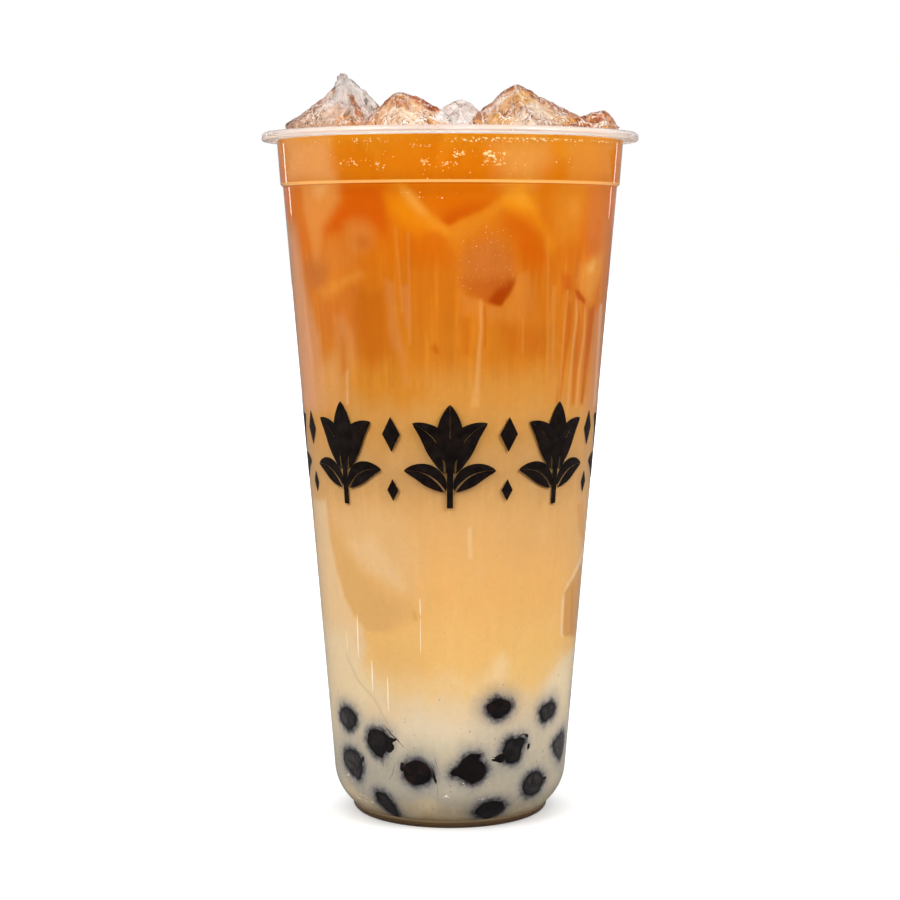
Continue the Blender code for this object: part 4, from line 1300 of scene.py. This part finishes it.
def toOutline(points, outline):
    # move points across so that the lump's outline in the picture runs along the given one
    rows, wantLefts, wantRights = np.reshape(outline, (-1, 3)).T
    lifted, step, below, letGo = ice["fit"]
    py = onPicture(points)[1]
    # the top row of the lump lands on the outline's first
    lift = np.clip((rows[0] + lifted - py) / lifted, 0.0, 1.0) * (py.min() - rows[0])
    scale = (points[:, 1] + view["distance"]) / view["focalPixels"]
    points[:, 2] += lift * scale
    px, py = onPicture(points)
    found = []
    for low in np.arange(py.min(), rows[-1] + below, step):
        inRow = (py >= low - 1.0) & (py < low + step + 1.0)
        if inRow.sum() > 3:
            found.append((low + step / 2, px[inRow].min(), px[inRow].max()))
    middles, lefts, rights = zip(*found)
    left, right = np.interp(py, middles, lefts), np.interp(py, middles, rights)
    wantLeft, wantRight = np.interp(py, rows, wantLefts), np.interp(py, rows, wantRights)
    share = np.clip((px - left) / np.maximum(right - left, 0.5), 0.0, 1.0)
    hold = np.clip((rows[-1] + letGo - py) / letGo, 0.0, 1.0)
    points[:, 0] += (wantLeft + (wantRight - wantLeft) * share - px) * hold * scale
    reach = np.hypot(points[:, 0], points[:, 1])
    inCup = points[:, 2] < cup["height"] + 0.6
    limit = np.where(inCup, collarRadius(cup["height"], cup["wall"]) - 0.3, ice["reach"])
    points[:, :2] *= np.minimum(1.0, limit / np.maximum(reach, 1.0))[:, None]
    points[:, 2] = np.minimum(points[:, 2], boxTop)
    return points


def paintIce(points):
    px, py = onPicture(points)
    tones = np.zeros((len(points), 4))
    px = px + 0.9 * np.sin(py * 0.55 + px * 0.2)
    py = py + 0.7 * np.sin(px * 0.6 - 1.0)
    for tone, strength, soft, pixels in iceMarks.values():
        paint = (*(value / ice["light"] for value in linear(tone)[:3]), 1.0)
        layMark(tones, np.arange(len(points)), paint, strength, awayFrom(pairs(pixels), px, py), soft)
    return tones


def makeIceLump(node, material):
    outline = iceOutlines.get(node)
    bm = bmesh.new()
    bm.from_mesh(nodes[node].data)
    bmesh.ops.remove_doubles(bm, verts=bm.verts, dist=0.00001)
    cuts = ice["frontCuts"] if outline else ice["cuts"]
    bmesh.ops.subdivide_edges(bm, edges=bm.edges, cuts=cuts, use_grid_fill=True)
    bm.verts.index_update()
    edges = np.array([[vert.index for vert in edge.verts] for edge in bm.edges])
    start = np.array([vert.co for vert in bm.verts]) / mm
    soft = smoothed(start, edges, ice["smoothing"])
    # smoothing lowers the peak: the upper half is drawn out again to the solid's height
    top, softTop, middle = start[:, 2].max(), soft[:, 2].max(), soft[:, 2].mean()
    upper = np.clip((soft[:, 2] - middle) / (softTop - middle), 0.0, 1.0)
    soft[:, 2] += (top - ice["peakDrop"] - softTop) * upper ** 2
    if outline:
        soft = toOutline(soft, outline)
    for vert, point in zip(bm.verts, soft):
        vert.co = Vector(point) * mm
    bm.normal_update()
    normals = np.array([vert.normal for vert in bm.verts])
    ridge = ((soft - smoothed(soft, edges, ice["ridgeSmoothing"])) * normals).sum(axis=1)
    for vert in bm.verts:
        spot = vert.co / mm
        vert.co += vert.normal * sum(tall * noise.noise(spot / wide) for tall, wide in ice["relief"]) * mm
        vert.co.z = min(vert.co.z, boxTop * mm)
    mesh = bpy.data.meshes.new(node)
    bm.to_mesh(mesh)
    bm.free()
    mesh.shade_smooth()
    setAttribute(mesh, "ridge", ridge)
    setAttribute(mesh, "marks", paintIce(soft) if outline else np.zeros((len(soft), 4)), "FLOAT_COLOR")
    first, *words = node.split("_")
    addPiece(first + "".join(word.capitalize() for word in words), mesh, material, "ice", node)


boxTop = cadBox[1][2] / mm - 0.05
iceGroup = makeIceGroup()
iceMaterials = {kind: makeIceMaterial(kind) for kind in ("clear", "back", "warm")}
iceNames = sorted(name for name in nodes if name.startswith("ice_"))
for iceName in iceNames:
    makeIceLump(iceName, iceMaterials[ice["kinds"].get(iceName, "warm")])
print("ice made:", len(iceNames))


# The printed frieze

frieze = {
    "count": 8,
    "middle": 94.5,
    "faces": (0.05, -0.03),     # the ink's outer and inner face, off the wall
    "steps": 26,
    # a sprig of five leaves, from its middle: start, end, bow, width
    "leaves": (
        ((0.0, -2.0), (0.0, 12.6), 0.0, 6.6),
        ((-1.3, -4.2), (-9.0, 8.0), 2.4, 6.4),
        ((1.3, -4.2), (9.0, 8.0), -2.4, 6.4),
        ((-1.2, -8.6), (-11.4, -3.6), 1.8, 5.2),
        ((1.2, -8.6), (11.4, -3.6), -1.8, 5.2),
    ),
    "slit": 0.55,
    "stem": ((0.0, -12.6), (0.0, -2.0), 0.0, 1.5),
    # lozenges between the sprigs: height from the middle, half width, half height
    "lozenges": ((5.2, 2.3, 4.2), (-8.4, 1.5, 2.6)),
}


def addStrip(points, faces, path, near, far, side, skin):
    # a raised strip along a path on the unrolled wall, from a near offset to a far one on one side.
    # The skin is the height at which the wall is unrolled, the inset, and the strip's two faces.
    level, inset, high, low = skin
    unrolled = wallRadius(level, inset)
    steps = len(path) - 1
    across = 4
    start = len(points)
    for i, (x, z) in enumerate(path):
        x0, z0 = path[max(i - 1, 0)]
        x1, z1 = path[min(i + 1, steps)]
        length = math.hypot(x1 - x0, z1 - z0)
        nx, nz = (z1 - z0) / length * side, -(x1 - x0) / length * side
        for j in range(across + 1):
            offset = near[i] + (far[i] - near[i]) * j / across
            turn, height = (x + nx * offset) / unrolled, z + nz * offset
            for lift in (high, low):
                radius = wallRadius(height, inset) + lift
                points.append((radius * math.sin(turn), -radius * math.cos(turn), height))
    row = 2 * (across + 1)
    last = start + steps * row
    made = []
    for a in range(start, last, row):
        b = a + 2 * across
        for c in range(a, b, 2):
            made += [(c, c + 2, c + row + 2, c + row), (c + 1, c + row + 1, c + row + 3, c + 3)]
        made += [(a, a + row, a + row + 1, a + 1), (b, b + 1, b + row + 1, b + row)]
    for j in range(0, 2 * across, 2):
        a, b = start + j, last + j
        made += [(a, a + 1, a + 3, a + 2), (b, b + 2, b + 3, b + 1)]
    faces += [face[::-1] if side > 0 else face for face in made]


def leafPath(start, end, bow, steps, shift):
    (x0, z0), (x1, z1) = start, end
    wide, tall = x1 - x0, z1 - z0
    length = math.hypot(wide, tall)
    path = []
    for i in range(steps + 1):
        share = i / steps
        bend = 4.0 * share * (1.0 - share) * bow / length
        x, z = x0 + wide * share + tall * bend, z0 + tall * share - wide * bend
        path.append((x + shift, z + frieze["middle"]))
    return path


def makeInkMaterial():
    made, tree, shader = newMaterial("printInk", gloss=0.08)
    mottle = tree.noise(tree.place(), 500.0, 4.0, 0.6)
    colour = tree.mix(tree.remap(mottle, 0.35, 0.7), linear((9, 4, 3)), linear((24, 14, 10)))
    wire(tree, shader, colour, tree.remap(mottle, 0.3, 0.7, 0.34, 0.5), mottle, 0.2, 0.02)
    return made


def makeFrieze():
    points, faces = [], []
    middle, count, steps = frieze["middle"], frieze["count"], frieze["steps"]
    skin = (middle, 0.0, *frieze["faces"])
    around = 2.0 * math.pi * wallRadius(middle, 0.0)
    shares = [i / steps for i in range(steps + 1)]
    for number in range(count):
        shift = around * number / count
        for start, end, bow, width in frieze["leaves"]:
            path = leafPath(start, end, bow, steps, shift)
            bulge = [width / 2 * math.sin(math.pi * s ** 0.85) ** 0.75 for s in shares]
            slit = [min(frieze["slit"] / 2 * (1.0 - s), b * 0.9) for s, b in zip(shares, bulge)]
            for side in (1, -1):
                addStrip(points, faces, path, slit, bulge, side, skin)
        start, end, bow, width = frieze["stem"]
        path = leafPath(start, end, bow, 8, shift)
        addStrip(points, faces, path, [-width / 2] * 9, [width / 2] * 9, 1, skin)
        between = shift + around / count / 2
        for up, halfWide, halfTall in frieze["lozenges"]:
            path = [(between, middle + up + halfTall * (i / 4 - 1.0)) for i in range(9)]
            half = [max(halfWide * (1.0 - abs(i / 4 - 1.0)), 0.05) for i in range(9)]
            addStrip(points, faces, path, [-h for h in half], half, 1, skin)
    mesh = meshFrom("printedFrieze", points, faces, 60.0)
    addPiece("printedFrieze", mesh, makeInkMaterial(), "print_ink")


makeFrieze()
print("frieze made")


# Bubbles and glints

# clusters of bubbles: left, top, right and bottom in pixels, count, smallest and largest size
bubbles = {
    "seed": 17,
    "clusters": (
        (349, 138, 371, 144, 14, 0.1, 0.24),
        (337, 158, 368, 165, 18, 0.1, 0.26),
        (372, 161, 384, 171, 12, 0.1, 0.24),
        (410, 144, 431, 147, 12, 0.1, 0.22),
        (421, 158, 430, 165, 16, 0.14, 0.36),
        (441, 162, 457, 168, 16, 0.12, 0.34),
        (454, 150, 464, 157, 14, 0.12, 0.34),
        (483, 150, 506, 166, 46, 0.1, 0.44),
        (556, 158, 572, 162, 3, 0.14, 0.24),
        (290, 140, 480, 180, 60, 0.05, 0.15),
        (480, 140, 606, 180, 26, 0.05, 0.14),
        (400, 185, 480, 200, 16, 0.08, 0.22),
        (312, 184, 330, 196, 10, 0.06, 0.16),
        (296, 137.2, 612, 142, 46, 0.08, 0.22),
        (440, 136.8, 614, 141.5, 90, 0.12, 0.34),
        (458, 222, 514, 290, 110, 0.04, 0.1),
        (300, 254, 316, 264, 16, 0.04, 0.09),
        (482, 188, 560, 210, 8, 0.04, 0.1),
    ),
    "backCount": 160,
    "backSizes": (0.08, 0.32),
    "backTurns": (88.0, 272.0),
    "backDepth": 4.0,
}

# thin lines of light on the drink's face: width, and the places they run through
glints = {
    "unrolledAt": 60.0,
    "sink": -0.03,
    "lines": (
        (0.34, (356.3, 614), (356.8, 636), (357.6, 657)),
        (0.34, (370.8, 660), (371.4, 676), (371.9, 692)),
        (0.3, (386.7, 676), (387.2, 694), (387.6, 712)),
        (0.2, (419.4, 598), (419.8, 607), (420, 616)),
        (0.12, (345.5, 632), (346.3, 641), (347, 650)),
        (0.14, (420, 618), (420.2, 640), (420.4, 655)),
        (0.34, (356.6, 796), (358.4, 797.4), (361, 798.6)),
        (0.4, (363, 799), (365.4, 800.6), (368, 802.4)),
        (0.22, (442.5, 797.8), (446, 796.6), (449.8, 797.8)),
    ),
    # bright specks, written as the clusters of bubbles are
    "spots": (
        (461, 783, 466, 786, 4, 0.06, 0.15),
        (482, 782, 494, 785, 4, 0.06, 0.13),
        (445, 796, 447, 797, 2, 0.26, 0.32),
        (370.5, 801, 371.5, 802, 2, 0.26, 0.32),
        (479, 798, 486, 800, 5, 0.08, 0.2),
        (357, 793, 366, 798, 8, 0.08, 0.22),
        (365, 798, 373, 803, 8, 0.08, 0.22),
        (344, 773, 348, 780, 8, 0.08, 0.26),
        (346, 780, 352, 790, 6, 0.08, 0.18),
        (556, 774, 560, 778, 3, 0.06, 0.12),
    ),
}

# threads of tapioca and spice in the milk, dark ones torn from the pearls, and one painted shadow beside
# pearl_04
threadsAndShadow = (
    (0.34, (383, 725), (391, 735), (399, 742)),
    (0.14, (396, 740), (404, 748)),
    (0.14, (381, 756), (383, 767)),
    # a painted shadow: the dark tail to the right of pearl_04
    (0.26, (429, 764), (434, 773), (437, 786)),
    (0.08, (437, 784), (438, 802)),
    (0.09, (434, 757), (438, 771)),
    (0.5, (450, 775), (458, 769), (466, 766)),
    (0.4, (472, 758), (479, 756), (485, 753)),
    (0.4, (493, 758), (500, 757), (508, 754)),
    (0.3, (518, 738), (524, 734), (529, 736)),
    (0.3, (400, 762), (404, 764), (410, 766)),
    (0.1, (394, 763), (392, 774), (388, 780)),
)


def makeSparkMaterial(name, first, second, roughness):
    made, tree, shader = newMaterial(name)
    tone = tree.remap(tree.noise(tree.place(), 300.0), 0.35, 0.65)
    wire(tree, shader, tree.mix(tone, linear(first), linear(second)), roughness)
    return made


def addBead(bm, draw, turn, height, size):
    # a bubble flattened against the wall
    radius = wallRadius(height, drink["inset"]) + 0.02
    made = bmesh.ops.create_icosphere(bm, subdivisions=2, radius=size)
    wide, tall = draw.uniform(0.75, 1.5), draw.uniform(0.6, 1.1)
    roll = draw.uniform(-0.5, 0.5)
    out = Vector((math.sin(turn), -math.cos(turn), 0.0))
    side = Vector((math.cos(turn), math.sin(turn), 0.0))
    centre = out * radius + Vector((0.0, 0.0, height))
    for vert in made["verts"]:
        x, y, z = vert.co.x * wide, vert.co.y, vert.co.z * tall
        x, z = x * math.cos(roll) - z * math.sin(roll), x * math.sin(roll) + z * math.cos(roll)
        vert.co = (centre + side * x + out * y * 0.25 + Vector((0.0, 0.0, z))) * mm


def makeBeads(name, clusters, material, slot, seed, backCount=0):
    draw = random.Random(seed)
    bm = bmesh.new()
    for left, top, right, bottom, count, small, large in clusters:
        for _ in range(count):
            size = small + (large - small) * draw.random() ** 2
            angle, height = onWall(draw.uniform(left, right), draw.uniform(top, bottom))
            addBead(bm, draw, math.radians(angle), min(height, drink["level"] - size), size)
    small, large = bubbles["backSizes"]
    first, last = np.radians(bubbles["backTurns"]).tolist()
    for _ in range(backCount):
        size = small + (large - small) * draw.random() ** 2.5
        height = drink["level"] - size - abs(draw.gauss(0.0, bubbles["backDepth"]))
        addBead(bm, draw, draw.uniform(first, last), height, size)
    mesh = bpy.data.meshes.new(name)
    bm.to_mesh(mesh)
    bm.free()
    mesh.shade_smooth()
    addPiece(name, mesh, material, slot)


def makeThreads(name, lines, material, slot, lift):
    points, faces = [], []
    skin = (glints["unrolledAt"], drink["inset"], lift, glints["sink"])
    toWall = math.radians(1.0) * wallRadius(*skin[:2])
    for width, *pixels in lines:
        spots = np.array([onWall(*pixel) for pixel in pixels])
        count = 6 * (len(spots) - 1)
        at = np.linspace(0.0, len(spots) - 1, count + 1)
        turns, heights = (np.interp(at, range(len(spots)), column) for column in spots.T)
        path = list(zip((turns * toWall).tolist(), heights.tolist()))
        half = [math.sin(math.pi * (i + 0.2) / (count + 0.4)) ** 0.6 * width / 2 for i in range(count + 1)]
        half = [max(value, 0.02) for value in half]
        addStrip(points, faces, path, [-value for value in half], half, 1, skin)
    addPiece(name, meshFrom(name, points, faces, 60.0), material, slot)


bubbleMaterial = makeSparkMaterial("bubbleLook", (255, 226, 164), (250, 190, 102), 0.4)
glintMaterial = makeSparkMaterial("glintLook", (255, 253, 246), (255, 246, 228), 0.2)
threadMaterial = makeSparkMaterial("threadLook", (30, 20, 18), (70, 54, 44), 0.5)
makeBeads("bubbleBeads", bubbles["clusters"], bubbleMaterial, "tea", bubbles["seed"], bubbles["backCount"])
makeBeads("milkSparks", glints["spots"], glintMaterial, "milk", bubbles["seed"] + 1)
makeThreads("drinkGlints", glints["lines"], glintMaterial, "milk", 0.03)
makeThreads("tapiocaThreads", threadsAndShadow, threadMaterial, "tapioca", 0.025)
print("bubbles and glints made")


# The floor

def makeFloor():
    mesh = bpy.data.meshes.new("floor")
    reach = studio["floorReach"]
    corners = [(x * reach, y * reach, 0.0) for x, y in ((-1, -1), (1, -1), (1, 1), (-1, 1))]
    mesh.from_pydata(corners, [], [(0, 1, 2, 3)])
    floor = bpy.data.objects.new("floor", mesh)
    scene.collection.objects.link(floor)
    made, tree, shader = newMaterial("paleFloor", glow=(1.0, 1.0, 1.0, 1.0))
    place = tree.place()
    tone = studio["floorColour"]
    darker = (value * studio["floorGrain"] for value in tone)
    colour = tree.mix(tree.noise(place, 30.0, 3.0), (*tone, 1.0), (*darker, 1.0))
    path = tree.add("LightPath").outputs
    mirrored = tree.times(path["Is Glossy Ray"], 1.0 - studio["floorMirrored"])
    wire(tree, shader, tree.mix(mirrored, colour, (0.0, 0.0, 0.0, 1.0)), 0.7)
    away = tree.add("VectorMath", {0: place}, operation="LENGTH").outputs["Value"]
    glow = tree.remap(away, *studio["floorGlowFrom"], *studio["floorGlow"])
    tree.feed(shader.inputs["Emission Strength"], tree.times(glow, path["Is Camera Ray"]))
    mesh.materials.append(made)


makeFloor()

print("scene ready")
